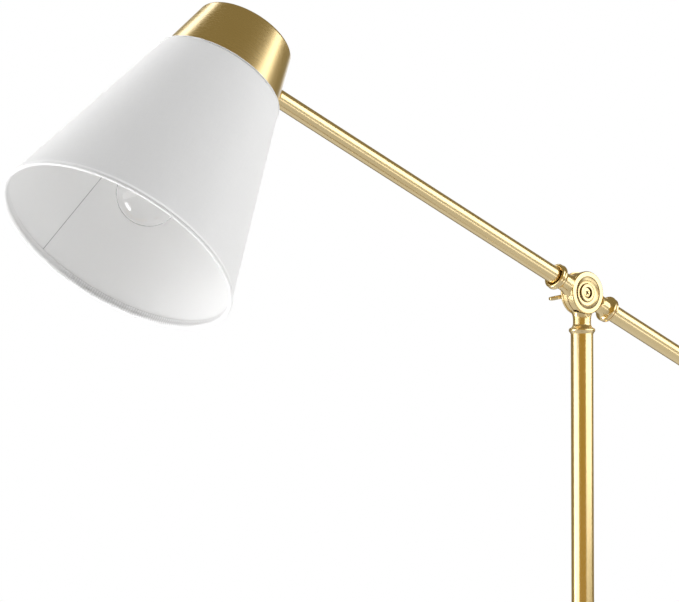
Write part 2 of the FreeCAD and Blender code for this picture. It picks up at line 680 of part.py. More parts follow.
def bushing_height():
    """Height of the cord bushing's centre above the floor."""
    return PAD_THICKNESS / 2 + BUSHING_LIP_RADIUS + BUSHING_CLEARANCE


def base_weight():
    """Cast weight under the cover, with the nut's well and a wireway below."""
    low = PAD_THICKNESS
    rim = BASE_RADIUS - COVER_THICKNESS - WEIGHT_GAP
    top = BASE_TOP - COVER_THICKNESS
    side = low + WEIGHT_SIDE_HEIGHT
    bore = PIPE_RADIUS + SLIDE_FIT
    well = low + NUT_WELL_DEPTH
    weight = turned([
        (bore, well), (NUT_WELL_RADIUS, well), (NUT_WELL_RADIUS, low), (rim, low),
        (rim, side - COVER_ROUND / 2), (rim - COVER_ROUND, side),
        (WEIGHT_HUB_RADIUS + COVER_ROUND, side + WEIGHT_GAP),
        (WEIGHT_HUB_RADIUS, top - WEIGHT_GAP), (FOOT_FLANGE_RADIUS, top), (bore, top)])
    wireway = Part.makeBox(BASE_RADIUS, WIREWAY_WIDTH, WIREWAY_DEPTH + OVERRUN,
                           FreeCAD.Vector(0, -WIREWAY_WIDTH / 2, low - OVERRUN))
    clear = along(rod(BUSHING_RADIUS + BUSHING_CLEARANCE, BASE_RADIUS - BUSHING_LENGTH - BUSHING_CLEARANCE,
                      BASE_RADIUS), 90, FreeCAD.Vector(0, 0, bushing_height()))
    return weight.cut(wireway).cut(clear)


def base_pad():
    """Non-slip pad that covers the weight's underside and the nut's well."""
    return rod(BASE_RADIUS - COVER_THICKNESS - PAD_INSET, 0, PAD_THICKNESS)


def base_washer():
    """Steel washer in the nut's well."""
    well = PAD_THICKNESS + NUT_WELL_DEPTH
    return tube(BASE_WASHER_RADIUS, PIPE_RADIUS + SLIDE_FIT, well - BASE_WASHER_THICKNESS, well)


def base_nut():
    """Nut that draws the base, pipe and foot collar together."""
    top = PAD_THICKNESS + NUT_WELL_DEPTH - BASE_WASHER_THICKNESS
    return hex_nut(PIPE_NUT_FLATS, PIPE_RADIUS + SLIDE_FIT, top - PIPE_NUT_THICKNESS, top)


def base_pipe():
    """Threaded pipe from the nut up into the foot collar."""
    low = PAD_THICKNESS + NUT_WELL_DEPTH - BASE_WASHER_THICKNESS - PIPE_NUT_THICKNESS - PIPE_TAIL
    return tube(PIPE_RADIUS, PIPE_BORE, low, BASE_TOP + FOOT_THREAD_DEPTH - SEAT_GAP)


def cord_bushing():
    """Bushing in the cover's side, on the tail side, where the cord would enter."""
    outer = BASE_RADIUS + BUSHING_LIP_THICKNESS
    inner = BASE_RADIUS - BUSHING_LENGTH
    bushing = turned([
        (BUSHING_BORE, inner), (BUSHING_RADIUS, inner), (BUSHING_RADIUS, BASE_RADIUS),
        (BUSHING_LIP_RADIUS, BASE_RADIUS),
        (BUSHING_LIP_RADIUS - BUSHING_LIP_THICKNESS / 4, outer - BUSHING_LIP_THICKNESS / 4,
         BUSHING_LIP_RADIUS - BUSHING_LIP_THICKNESS, outer),
        (BUSHING_BORE, outer)])
    return along(bushing, 90, FreeCAD.Vector(0, 0, bushing_height()))


# Head
def brass_cap():
    """Spun cap: tapered wall, rounded edge, flat top, and the slot for the tongue."""
    wall_across = CAP_THICKNESS / COS_TAPER
    slope = math.tan(math.radians(TAPER))
    inner_round = CAP_EDGE_ROUND - CAP_THICKNESS
    round_height = CAP_HEIGHT - CAP_EDGE_ROUND
    round_centre = CAP_BASE_RADIUS - round_height * slope - CAP_EDGE_ROUND / COS_TAPER
    tangent = math.radians(TAPER)
    middle = math.radians((90 + TAPER) / 2)

    def on_round(radius, angle):
        return (round_centre + radius * math.cos(angle), round_height + radius * math.sin(angle))

    outer_start = on_round(CAP_EDGE_ROUND, tangent)
    outer_middle = on_round(CAP_EDGE_ROUND, middle)
    inner_start = on_round(inner_round, tangent)
    inner_middle = on_round(inner_round, middle)
    hole = PIPE_RADIUS + SLIDE_FIT
    cap = turned([
        (CAP_BASE_RADIUS - wall_across, 0), (CAP_BASE_RADIUS, 0), outer_start,
        (outer_middle[0], outer_middle[1], round_centre, CAP_HEIGHT),
        (hole, CAP_HEIGHT), (hole, CAP_HEIGHT - CAP_THICKNESS),
        (round_centre, CAP_HEIGHT - CAP_THICKNESS),
        (inner_middle[0], inner_middle[1], inner_start[0], inner_start[1])])
    return cap.cut(tongue_slot())


def tongue_slot():
    """Cutter for the slot that the tongue swings in, square to the cap's wall."""
    half_tongue = TONGUE_WIDTH / 2 + SLOT_GAP
    arm_lean = 90 - ARM_ANGLE - SHADE_ANGLE
    reach_down = math.radians(TILT_DOWN - arm_lean + TAPER)
    reach_up = math.radians(TILT_UP + arm_lean - TAPER)
    below = WALL_SPAN * math.tan(reach_down) + half_tongue / math.cos(reach_down)
    above = WALL_SPAN * math.tan(reach_up) + half_tongue / math.cos(reach_up)
    cutter = Part.makeBox(2 * OVERRUN, SLOT_WIDTH, below + above,
                          FreeCAD.Vector(WALL_SPAN - OVERRUN, -SLOT_WIDTH / 2, -below))
    return along(cutter, -TAPER, FreeCAD.Vector(PIVOT_OFFSET, 0, PIVOT_HEIGHT))


def yoke_span():
    """Half distance between the yoke's ears, and the half width over them."""
    inner = TONGUE_THICKNESS / 2 + PIVOT_WASHER_THICKNESS + 2 * SLIDE_FIT
    return inner, inner + YOKE_THICKNESS


def head_yoke():
    """Bent yoke: a web clamped on the pipe and two ears for the pivot bolt."""
    inner, outer = yoke_span()
    web = block(0, PIVOT_OFFSET + YOKE_EAR_RADIUS, outer, YOKE_LIFT, YOKE_LIFT + YOKE_THICKNESS)
    web = web.fuse(rod(YOKE_HUB_RADIUS, YOKE_LIFT, YOKE_LIFT + YOKE_THICKNESS))
    low_x = PIVOT_OFFSET - YOKE_EAR_RADIUS
    high_x = PIVOT_OFFSET + YOKE_EAR_RADIUS
    ears = block(low_x, high_x, outer, YOKE_LIFT, PIVOT_HEIGHT)
    ears = ears.fuse(crosswise(rod(YOKE_EAR_RADIUS, -outer, outer), PIVOT_OFFSET, PIVOT_HEIGHT))
    gap = block(low_x - OVERRUN, high_x + OVERRUN, inner, YOKE_LIFT + YOKE_THICKNESS,
                PIVOT_HEIGHT + YOKE_EAR_RADIUS + OVERRUN)
    bolt_hole = crosswise(rod(PIVOT_BOLT_RADIUS + SLIDE_FIT, -outer - OVERRUN, outer + OVERRUN),
                          PIVOT_OFFSET, PIVOT_HEIGHT)
    pipe_hole = rod(PIPE_RADIUS + SLIDE_FIT, -OVERRUN, YOKE_LIFT + YOKE_THICKNESS + OVERRUN)
    return web.fuse(ears.cut(gap)).cut(bolt_hole).cut(pipe_hole).removeSplitter()


def pivot_bolt():
    """Hexagon bolt through the yoke's ears and the tongue's eye."""
    outer = yoke_span()[1]
    head = hexagon(PIVOT_BOLT_HEAD_FLATS, -outer - PIVOT_BOLT_HEAD_THICKNESS, -outer)
    shank = rod(PIVOT_BOLT_RADIUS, -outer, outer + PIVOT_NUT_THICKNESS + PIVOT_WASHER_THICKNESS)
    return crosswise(head.fuse(shank), PIVOT_OFFSET, PIVOT_HEIGHT)


def pivot_lock_nut():
    """Lock nut on the pivot bolt."""
    outer = yoke_span()[1]
    nut = hex_nut(PIVOT_BOLT_HEAD_FLATS, PIVOT_BOLT_RADIUS + SLIDE_FIT, outer, outer + PIVOT_NUT_THICKNESS)
    return crosswise(nut, PIVOT_OFFSET, PIVOT_HEIGHT)


def pivot_washers():
    """Two fibre washers between the tongue and the ears."""
    low = TONGUE_THICKNESS / 2 + SLIDE_FIT
    washer = tube(PIVOT_WASHER_RADIUS, PIVOT_BOLT_RADIUS + SLIDE_FIT, low, low + PIVOT_WASHER_THICKNESS)
    near = crosswise(washer, PIVOT_OFFSET, PIVOT_HEIGHT)
    far = near.mirror(ORIGIN, CROSSWISE)
    return Part.makeCompound([near, far])


def head_pipe():
    """Threaded pipe down the shade's axis, from the cap nut to the socket's cap."""
    return tube(PIPE_RADIUS, PIPE_BORE, HEAD_PIPE_BOTTOM, HEAD_PIPE_TOP)


def head_pipe_nuts():
    """Nuts on the pipe: under the cap's top, over and under the web, under the spider."""
    spider_floor = -SPIDER_DROP - SPIDER_HUB_THICKNESS
    floors = [CAP_HEIGHT - CAP_THICKNESS - PIPE_NUT_THICKNESS, YOKE_LIFT + YOKE_THICKNESS,
              YOKE_LIFT - PIPE_NUT_THICKNESS, spider_floor - PIPE_NUT_THICKNESS, -SPIDER_DROP]
    bore = PIPE_RADIUS + SLIDE_FIT
    return Part.makeCompound([hex_nut(PIPE_NUT_FLATS, bore, floor, floor + PIPE_NUT_THICKNESS)
                              for floor in floors])


def cap_nut():
    """Blind round nut on top of the cap."""
    corner = math.sqrt(0.5)
    top = CAP_HEIGHT + CAP_NUT_HEIGHT
    shoulder = CAP_NUT_RADIUS - CAP_NUT_ROUND
    bore = PIPE_RADIUS + SLIDE_FIT
    return turned([
        (bore, CAP_HEIGHT), (CAP_NUT_RADIUS, CAP_HEIGHT), (CAP_NUT_RADIUS, top - CAP_NUT_ROUND),
        (shoulder + CAP_NUT_ROUND * corner, top - CAP_NUT_ROUND + CAP_NUT_ROUND * corner, shoulder, top),
        (0, top), (0, top - CAP_NUT_ROOF), (bore, top - CAP_NUT_ROOF)])


# Shade
def cone_radius(depth):
    """Outer radius of the shade at a depth below the cap's open edge."""
    return SHADE_TOP_RADIUS + (RIM_RADIUS - SHADE_TOP_RADIUS) * depth / SHADE_LENGTH


def cone_skin(start, thickness, depth):
    """Thin cone, its outer face a given distance in from the shade's outer face."""
    lean = 1 / math.cos(math.radians(CONE_ANGLE))
    outer = start * lean
    inner = (start + thickness) * lean
    return turned([
        (SHADE_TOP_RADIUS - inner, 0), (SHADE_TOP_RADIUS - outer, 0),
        (cone_radius(depth) - outer, -depth), (cone_radius(depth) - inner, -depth)])


def skin_depth():
    """Depth at which fabric and lining meet the binding."""
    return SHADE_LENGTH - BINDING_HEIGHT


def shade_fabric():
    """Fabric of the shade."""
    return cone_skin(FABRIC_THICKNESS, FABRIC_THICKNESS, skin_depth())


def shade_lining():
    """Stiff lining laminated inside the fabric."""
    return cone_skin(2 * FABRIC_THICKNESS, LINING_THICKNESS, skin_depth())


def binding_axis():
    """Middle of the binding at its upper edge and at its rounded lower end."""
    half = BINDING_THICKNESS / 2
    upper = (cone_radius(skin_depth()) - half, -skin_depth())
    lower = (RIM_RADIUS - half, half - SHADE_LENGTH)
    return upper, lower


def rim_binding():
    """Fabric binding rolled round the wire at the shade's opening."""
    half = BINDING_THICKNESS / 2
    upper, lower = binding_axis()
    band = turned([
        (upper[0] - half, upper[1]), (upper[0] + half, upper[1]), (lower[0] + half, lower[1]),
        (lower[0], lower[1] - half, lower[0] - half, lower[1])])
    hollow = Part.makeTorus(lower[0], RIM_WIRE_RADIUS + SLIDE_FIT, FreeCAD.Vector(0, 0, lower[1]))
    return band.cut(hollow)


def rim_wire():
    """Wire ring inside the binding."""
    lower = binding_axis()[1]
    return Part.makeTorus(lower[0], RIM_WIRE_RADIUS, FreeCAD.Vector(0, 0, lower[1]))


def shade_spider():
    """Top ring of the shade with three spokes to a hub on the pipe."""
    lean = 1 / math.cos(math.radians(CONE_ANGLE))
    skins = (2 * FABRIC_THICKNESS + LINING_THICKNESS) * lean
    ring_depth = SPIDER_WIRE_RADIUS + SEAT_GAP
    ring_radius = cone_radius(ring_depth) - skins - SPIDER_WIRE_RADIUS * lean - SLIDE_FIT
    underside = -SPIDER_DROP - SPIDER_HUB_THICKNESS
    spider = tube(SPIDER_HUB_RADIUS, PIPE_RADIUS + SLIDE_FIT, underside, -SPIDER_DROP)
    ring = Part.makeTorus(ring_radius, SPIDER_WIRE_RADIUS, FreeCAD.Vector(0, 0, -ring_depth))
    hub_reach = SPIDER_HUB_RADIUS - SPIDER_HUB_THICKNESS / 2
    hub_point = FreeCAD.Vector(hub_reach, 0, -SPIDER_DROP - SPIDER_HUB_THICKNESS / 2)
    ring_point = FreeCAD.Vector(ring_radius, 0, -ring_depth)
    spoke_way = ring_point - hub_point
    spoke = Part.makeCylinder(SPIDER_WIRE_RADIUS, spoke_way.Length, hub_point, spoke_way)
    for number in range(SPIDER_SPOKES):
        turned_spoke = spoke.copy()
        turned_spoke.rotate(ORIGIN, UP, 360 / SPIDER_SPOKES * (number + 1 / 2))
        spider = spider.fuse(turned_spoke)
    return spider.fuse(ring)


# Socket and bulb
def socket_cap():
    """Domed metal cap of the socket, its hub tapped for the pipe."""
    low = SOCKET_TOP - SOCKET_LIP
    rim = SOCKET_RADIUS + SOCKET_CAP_WALL
    bore = PIPE_RADIUS + SLIDE_FIT
    shoulder = low + SOCKET_LIP + SOCKET_CAP_WALL
    return turned([
        (bore, shoulder), (bore, SOCKET_CAP_TOP), (SOCKET_CAP_HUB_RADIUS, SOCKET_CAP_TOP),
        (SOCKET_CAP_HUB_RADIUS, SOCKET_CAP_TOP - SOCKET_CAP_WALL),
        ((rim + SOCKET_CAP_HUB_RADIUS) / 2 + SOCKET_CAP_WALL, (shoulder + SOCKET_CAP_TOP) / 2,
         rim, shoulder - SOCKET_CAP_WALL),
        (rim, low), (SOCKET_RADIUS + SLIDE_FIT, low), (SOCKET_RADIUS + SLIDE_FIT, SOCKET_TOP + SLIDE_FIT),
        (bore + SOCKET_CAP_WALL, SOCKET_TOP + SLIDE_FIT), (bore + SOCKET_CAP_WALL, shoulder)])


def socket_body():
    """Moulded socket body, open toward the bulb, with a floor for the contact."""
    mouth = SOCKET_TOP - SOCKET_LENGTH
    inner = SOCKET_RADIUS - SOCKET_WALL
    floor = SOCKET_TOP - SOCKET_FLOOR
    return turned([
        (0, floor), (inner, floor), (inner, mouth), (SOCKET_RADIUS - SOCKET_LIP, mouth),
        (SOCKET_RADIUS, mouth + SOCKET_LIP), (SOCKET_RADIUS, SOCKET_TOP), (0, SOCKET_TOP)])


def socket_shell():
    """Thin screw shell inside the socket body."""
    outer = SOCKET_RADIUS - SOCKET_WALL - SLIDE_FIT
    top = SOCKET_TOP - SOCKET_FLOOR - CONTACT_THICKNESS
    neck_bore = BULB_BASE_RADIUS + RUN_FIT
    low = top - SHELL_LENGTH
    step = low + SOCKET_LIP
    return turned([
        (neck_bore, low), (outer, low), (outer, step), (neck_bore + SHELL_THICKNESS, step + SOCKET_LIP),
        (neck_bore + SHELL_THICKNESS, top), (neck_bore, top)])


def socket_contact():
    """Centre contact strip on the socket's floor."""
    floor = SOCKET_TOP - SOCKET_FLOOR
    reach = BULB_TIP_RADIUS + CONTACT_WIDTH / 2
    return block(-reach, reach, CONTACT_WIDTH / 2, floor - CONTACT_THICKNESS, floor)


def bulb_profile(inset):
    """Outline of the bulb from its tip to its neck, inset by a glass thickness."""
    ball = BULB_RADIUS - inset
    neck_radius = BULB_NECK_RADIUS - inset
    shoulder = BULB_SHOULDER_RADIUS + inset
    rise = math.sqrt((ball + shoulder) ** 2 - (neck_radius + shoulder) ** 2)
    lean = math.atan2(rise, neck_radius + shoulder)
    tangent_r = ball * math.cos(lean)
    tangent_z = BULB_CENTRE + ball * math.sin(lean)
    half = lean / 2
    shoulder_r = neck_radius + shoulder
    middle_r = shoulder_r - shoulder * math.cos(half)
    middle_z = BULB_CENTRE + rise - shoulder * math.sin(half)
    neck_z = BULB_CENTRE + rise
    sweep = (lean - math.radians(90)) / 2
    ball_middle = (ball * math.cos(sweep), BULB_CENTRE + ball * math.sin(sweep))
    return [(0, BULB_CENTRE - ball), (ball_middle[0], ball_middle[1], tangent_r, tangent_z),
            (middle_r, middle_z, neck_radius, neck_z)]


def bulb_base_low():
    """Height of the open edge of the bulb's metal base."""
    return BULB_CONTACT - BULB_TIP_LENGTH - BULB_BASE_LENGTH


def bulb_glass():
    """Clear glass envelope, closed at its neck by the stem's flare."""
    neck_end = bulb_base_low() + BULB_BASE_LENGTH / 4
    neck = BULB_BASE_RADIUS - BULB_BASE_WALL - SLIDE_FIT
    low = bulb_base_low() - BULB_GLASS
    outer = bulb_profile(0) + [(BULB_NECK_RADIUS, low), (neck, low), (neck, neck_end), (0, neck_end)]
    inner = bulb_profile(BULB_GLASS)
    inner_neck = neck - BULB_GLASS
    inner_end = neck_end - BULB_GLASS
    hollow = turned(inner + [(inner_neck, low), (inner_neck, inner_end), (0, inner_end)])
    return turned(outer).cut(hollow)


def bulb_base():
    """Thin metal screw base of the bulb with its raised centre contact."""
    low = bulb_base_low()
    shoulder = low + BULB_BASE_LENGTH - BULB_TIP_LENGTH
    inner = BULB_BASE_RADIUS - BULB_BASE_WALL
    contact = BULB_CONTACT - SEAT_GAP
    return turned([
        (inner, low), (BULB_BASE_RADIUS, low), (BULB_BASE_RADIUS, shoulder),
        (BULB_TIP_RADIUS, shoulder + BULB_TIP_LENGTH), (BULB_TIP_RADIUS - BULB_BASE_WALL, contact),
        (0, contact), (0, contact - 2 * BULB_BASE_WALL),
        (BULB_TIP_RADIUS - 2 * BULB_BASE_WALL, contact - 2 * BULB_BASE_WALL),
        (inner, shoulder - BULB_BASE_WALL)])


def stem_top():
    """Height at which the glass stem leaves the neck."""
    return bulb_base_low() + BULB_BASE_LENGTH / 4 - BULB_GLASS - SEAT_GAP


def bulb_stem():
    """Glass stem with a button that holds the filament's supports."""
    top = stem_top()
    low = top - STEM_LENGTH
    button_top = low + 2 * STEM_BUTTON_RADIUS
    return turned([
        (0, low),
        (STEM_BUTTON_RADIUS, low + STEM_BUTTON_RADIUS, STEM_BUTTON_RADIUS / 2, button_top),
        (STEM_RADIUS / 2, top - STEM_LENGTH / 2), (STEM_RADIUS, top), (0, top)])


def bulb_filament():
    """Two bent supports and the arched filament between them, one wire."""
    anchor_z = stem_top() - STEM_LENGTH / 2
    anchor_x = STEM_RADIUS / 2 + FILAMENT_RADIUS + SEAT_GAP
    outer_z = stem_top() - STEM_LENGTH - FILAMENT_RISE / 2
    arch_z = outer_z - FILAMENT_RISE / 2
    left_foot = FreeCAD.Vector(-anchor_x, 0, anchor_z)
    left = FreeCAD.Vector(-FILAMENT_SPREAD, 0, outer_z)
    crown = FreeCAD.Vector(0, 0, arch_z)
    right = FreeCAD.Vector(FILAMENT_SPREAD, 0, outer_z)
    right_foot = FreeCAD.Vector(anchor_x, 0, anchor_z)
    legs = []
    for foot, knee in ((left_foot, left), (right_foot, right)):
        way = knee - foot
        legs.append(Part.makeCylinder(FILAMENT_RADIUS, way.Length, foot, way))
        legs.append(Part.makeSphere(FILAMENT_RADIUS, knee))
    arch = Part.Wire([Part.Arc(left, crown, right).toShape()])
    first = arch.Edges[0]
    start = Part.Wire([Part.makeCircle(FILAMENT_RADIUS, left, first.tangentAt(first.FirstParameter))])
    arch_solid = arch.makePipeShell([start], True, False)
    return arch_solid.multiFuse(legs)


# Every piece by name
def pieces():
    """Name and placed shape of every piece."""
    arm_side = (ARM_TURN, TAIL_TURN)
    return {
        "base_pad": base_pad(),
        "base_weight": base_weight(),
        "base_cover": base_cover(),
        "base_washer": base_washer(),
        "base_nut": base_nut(),
        "base_pipe": base_pipe(),
        "cord_bushing": cord_bushing(),
        "pole_foot_collar": pole_foot_collar(),
        "pole_lower": pole_section(0),
        "lower_coupling": pole_coupling(0),
        "pole_middle": pole_section(1),
        "upper_coupling": pole_coupling(1),
        "pole_upper": pole_section(2),
        "pole_collar": on_pole(pole_collar()),
        "rear_swivel": swivel_half(1, (180,)),
        "friction_washer": friction_washer(),
        "pivot_screw": pivot_screw(),
        "wing_nut": wing_nut(),
        "front_swivel": swivel_half(-1, arm_side),
        "arm_collar": on_arm(lipped_collar()),
        "arm_tube": on_arm(arm_tube()),
        "arm_end_fitting": on_arm(arm_end_fitting()),
        "tail_collar": on_tail(lipped_collar()),
        "tail_tube": on_tail(tail_tube()),
        "tail_plug": on_tail(tail_plug()),
        "counterweight": on_tail(counterweight()),
        "brass_cap": on_head(brass_cap()),
        "cap_nut": on_head(cap_nut()),
        "head_pipe": on_head(head_pipe()),
        "head_pipe_nuts": on_head(head_pipe_nuts()),
        "head_yoke": on_head(head_yoke()),
        "pivot_bolt": on_head(pivot_bolt()),
        "pivot_lock_nut": on_head(pivot_lock_nut()),
        "pivot_washers": on_head(pivot_washers()),
        "shade_spider": on_head(shade_spider()),
        "shade_fabric": on_head(shade_fabric()),
        "shade_lining": on_head(shade_lining()),
        "rim_binding": on_head(rim_binding()),
        "rim_wire": on_head(rim_wire()),
        "socket_cap": on_head(socket_cap()),
        "socket_body": on_head(socket_body()),
        "socket_shell": on_head(socket_shell()),
        "socket_contact": on_head(socket_contact()),
        "bulb_base": on_head(bulb_base()),
        "bulb_glass": on_head(bulb_glass()),
        "bulb_stem": on_head(bulb_stem()),
        "bulb_filament": on_head(bulb_filament()),
    }


for name, shape in pieces().items():
    shape.exportStep("parts/" + name + ".step")
    print(name, len(shape.Solids), "solid", round(shape.Volume), "cubic mm")
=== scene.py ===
# %% [markdown]
# # A balanced-arm floor lamp in satin brass, with a white cone shade
#
# The metal parts of this lamp come from the CAD model, which is loaded first and
# is never moved. This lesson adds what the CAD leaves out: the cloth of the shade,
# the small fittings with their threads, the finishes, the camera and the lights.
# Every length is in metres, in the same frame as the CAD, and MM turns the
# millimetres on a drawing into them.

# %% Load the CAD model
import math

import bmesh
import bpy
from mathutils import Matrix, Vector


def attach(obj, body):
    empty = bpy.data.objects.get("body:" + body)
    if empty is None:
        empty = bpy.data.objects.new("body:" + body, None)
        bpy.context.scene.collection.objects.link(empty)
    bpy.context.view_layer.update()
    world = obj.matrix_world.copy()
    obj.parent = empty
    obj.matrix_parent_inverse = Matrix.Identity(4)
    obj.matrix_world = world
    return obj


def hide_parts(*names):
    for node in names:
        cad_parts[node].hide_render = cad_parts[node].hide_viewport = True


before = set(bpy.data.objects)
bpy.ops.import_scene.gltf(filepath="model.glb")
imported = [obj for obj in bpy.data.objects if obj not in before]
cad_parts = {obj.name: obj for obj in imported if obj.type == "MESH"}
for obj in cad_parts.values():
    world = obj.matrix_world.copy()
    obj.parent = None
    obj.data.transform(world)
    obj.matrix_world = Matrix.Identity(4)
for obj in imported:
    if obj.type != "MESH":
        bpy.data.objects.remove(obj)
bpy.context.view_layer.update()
MM = 0.001

# %% [markdown]
# ## Where the lamp's parts are
#
# Three axes carry almost every piece: the upright pole, the leaning line of the arm
# and its tail, and the axis of the shade. A piece is modelled upright at the origin,
# where its shape is easy to think about, and then settled on its axis.

# %% Axes of the lamp
KNUCKLE = Vector((0, 0, 1260 * MM))
FLOOR = Vector((0, 0, 0))
ARM_ANGLE = math.radians(22.8)
SHADE_ANGLE = math.radians(53.2)
HEAD_REACH = 459.7 * MM
PIVOT_OFFSET = 27.1 * MM
PIVOT_HEIGHT = 25.8 * MM
QUARTER = math.radians(90)
FULL_TURN = 4 * QUARTER
ARM_TURN = ARM_ANGLE - QUARTER
HEAD_TURN = QUARTER - SHADE_ANGLE

head_up = Vector((math.cos(SHADE_ANGLE), 0, math.sin(SHADE_ANGLE)))
head_out = Vector((head_up.z, 0, -head_up.x))
arm_way = Vector((-math.cos(ARM_ANGLE), 0, math.sin(ARM_ANGLE)))
HEAD = KNUCKLE + arm_way * HEAD_REACH - head_out * PIVOT_OFFSET - head_up * PIVOT_HEIGHT
print("centre of the cap's open edge:", [round(v, 4) for v in HEAD])

# %% [markdown]
# ## Camera
#
# The picture was taken with a long lens from a little below the swivel, so the arm
# shows almost no perspective. The camera stands 4.8 m away, and its lens is found
# from how large the lamp is in the picture. The image is 679 pixels wide and 602 high.

# %% Camera
CAMERA_DISTANCE = 4.8
CAMERA_AROUND = math.radians(44.33)
CAMERA_RISE = math.radians(-3.573)
LOOK_AROUND = math.radians(41.526)
LOOK_UP = math.radians(3.486)
SENSOR = 36.0
IMAGE_WIDTH = 679
FOCAL_PIXELS = 4958.4

camera_data = bpy.data.cameras.new("camera")
camera_data.sensor_width = SENSOR
camera_data.lens = FOCAL_PIXELS * SENSOR / IMAGE_WIDTH
camera_data.clip_start = 0.1
camera_data.clip_end = 100
camera = bpy.data.objects.new("camera", camera_data)
bpy.context.scene.collection.objects.link(camera)
toward_camera = Vector((-math.sin(CAMERA_AROUND) * math.cos(CAMERA_RISE),
                        -math.cos(CAMERA_AROUND) * math.cos(CAMERA_RISE),
                        math.sin(CAMERA_RISE)))
away = -toward_camera
camera.location = KNUCKLE + toward_camera * CAMERA_DISTANCE
camera.rotation_euler = (QUARTER + LOOK_UP, 0, -LOOK_AROUND)
bpy.context.scene.camera = camera
print("lens", round(camera_data.lens, 1), "mm")

# %% [markdown]
# ## Nodes as sums
#
# A finish is a small calculation on a surface: how far from the axis, how much grain,
# how worn. Written as nodes it is hard to read, so `Value` wraps the output of a node
# and lets ordinary sums add the Math nodes. `Finish` holds one material, and its
# `node` method adds any other node from a type, its settings and its inputs.

# %% Sums on sockets


class Value:
    """A number or vector that a node gives."""

    def __init__(self, finish, socket):
        self.finish = finish
        self.socket = socket

    def maths(self, operation, *others):
        return self.finish.maths(operation, self, *others)

    def __add__(self, other):
        return self.maths("ADD", other)

    def __sub__(self, other):
        return self.maths("SUBTRACT", other)

    def __mul__(self, other):
        return self.maths("MULTIPLY", other)

    def __truediv__(self, other):
        return self.maths("DIVIDE", other)

    def __rsub__(self, other):
        return self.finish.maths("SUBTRACT", other, self)

    __radd__ = __add__
    __rmul__ = __mul__

    def size(self):
        return self.maths("ABSOLUTE")

    def radius_with(self, other):
        """Distance from an axis, by two coordinates square to it."""
        return (self * self + other * other).maths("SQRT")

    def between(self, low, high):
        """Smooth step from 0 to 1 while the value goes from low to high."""
        inputs = {"Value": self, "From Min": low, "From Max": high, "To Min": 0.0, "To Max": 1.0}
        return self.finish.node("ShaderNodeMapRange", {"interpolation_type": "SMOOTHSTEP"}, inputs)


print("sums:", [name for name in vars(Value) if not name.startswith("__")])

# %% One material from nodes


class Finish:
    """One material, or the world, built from nodes."""

    def __init__(self, name, holder=None):
        self.holder = holder or bpy.data.materials.new(name)
        self.holder.use_nodes = True
        self.tree = self.holder.node_tree
        self.shader = self.tree.nodes.get("Principled BSDF")

    def node(self, kind, settings=None, inputs=None, output=0):
        """Adds a node: its type, its settings, the values or links of its sockets."""
        made = self.tree.nodes.new(kind)
        for name, value in (settings or {}).items():
            setattr(made, name, value)
        for name, value in (inputs or {}).items():
            self.feed(made.inputs[name], value)
        return Value(self, made.outputs[output])

    def outputs(self, kind, names, inputs=None):
        """Adds a node, and gives several of its outputs."""
        made = self.node(kind, inputs=inputs).socket.node
        return [Value(self, made.outputs[name]) for name in names]

    def feed(self, socket, value):
        if isinstance(value, Value):
            self.tree.links.new(value.socket, socket)
        elif isinstance(value, tuple) and len(value) == 3 and socket.type == "RGBA":
            socket.default_value = (*value, 1)
        else:
            socket.default_value = value

    def set(self, **inputs):
        """Feeds the shader's own sockets, named with underscores for spaces."""
        for name, value in inputs.items():
            self.feed(self.shader.inputs[name.replace("_", " ")], value)
        return self.holder

    def maths(self, operation, *numbers):
        inputs = dict(enumerate(numbers))
        return self.node("ShaderNodeMath", {"operation": operation}, inputs)

    def place(self, centre, turn):
        """Object coordinates measured from a centre, upright along a leaning axis."""
        raw = self.node("ShaderNodeTexCoord", output="Object")
        inputs = {"Vector": raw, "Location": tuple(centre), "Rotation": (0, turn, 0)}
        return self.node("ShaderNodeMapping", {"vector_type": "TEXTURE"}, inputs)

    def split(self, vector):
        return self.outputs("ShaderNodeSeparateXYZ", ("X", "Y", "Z"), {"Vector": vector})

    def join(self, x, y, z):
        return self.node("ShaderNodeCombineXYZ", inputs={"X": x, "Y": y, "Z": z})

    def noise(self, vector, scale, detail=3.0):
        inputs = {"Vector": vector, "Scale": scale, "Detail": detail, "Roughness": 0.55}
        return self.node("ShaderNodeTexNoise", {}, inputs, output="Fac")

    def mix(self, share, first, second):
        """Blend of two colours, which are sockets 6 and 7 of the node and its output 2."""
        inputs = {0: share, 6: first, 7: second}
        return self.node("ShaderNodeMix", {"data_type": "RGBA"}, inputs, output=2)

    def bump(self, height, distance):
        """Relief on the surface; distance is its depth in metres."""
        inputs = {"Height": height, "Distance": distance, "Strength": 1.0}
        return self.node("ShaderNodeBump", {}, inputs, output="Normal")


print("a finish can:", [name for name in vars(Finish) if not name.startswith("__")])

# %% [markdown]
# ## Studio
#
# Polished metal shows the room more than its own colour, so the room is made for the
# metal. Behind the lamp is a white wall that the camera, the metal and the glass all
# see. The corners beside it are dark, which draws the thin dark edge on a tube. Round
# the camera the room is dark and warm, which gives the brown line in a tube's middle.
# Cloth sees none of this: for it the world is one even, faint grey. A Light Path node
# tells the three apart.

# %% World
WHITE = (1, 1, 1)
BLACK = (0, 0, 0)
AMBIENT = (0.10,) * 3
ROOM_DARK = (0.255, 0.21, 0.108)
ROOM_WARM = (0.43, 0.285, 0.06)
WALL_FADE = (0.90, 0.98)
WARM_FADE = (-0.70, -0.85)
HORIZON_FADE = (-0.05, 0.02)

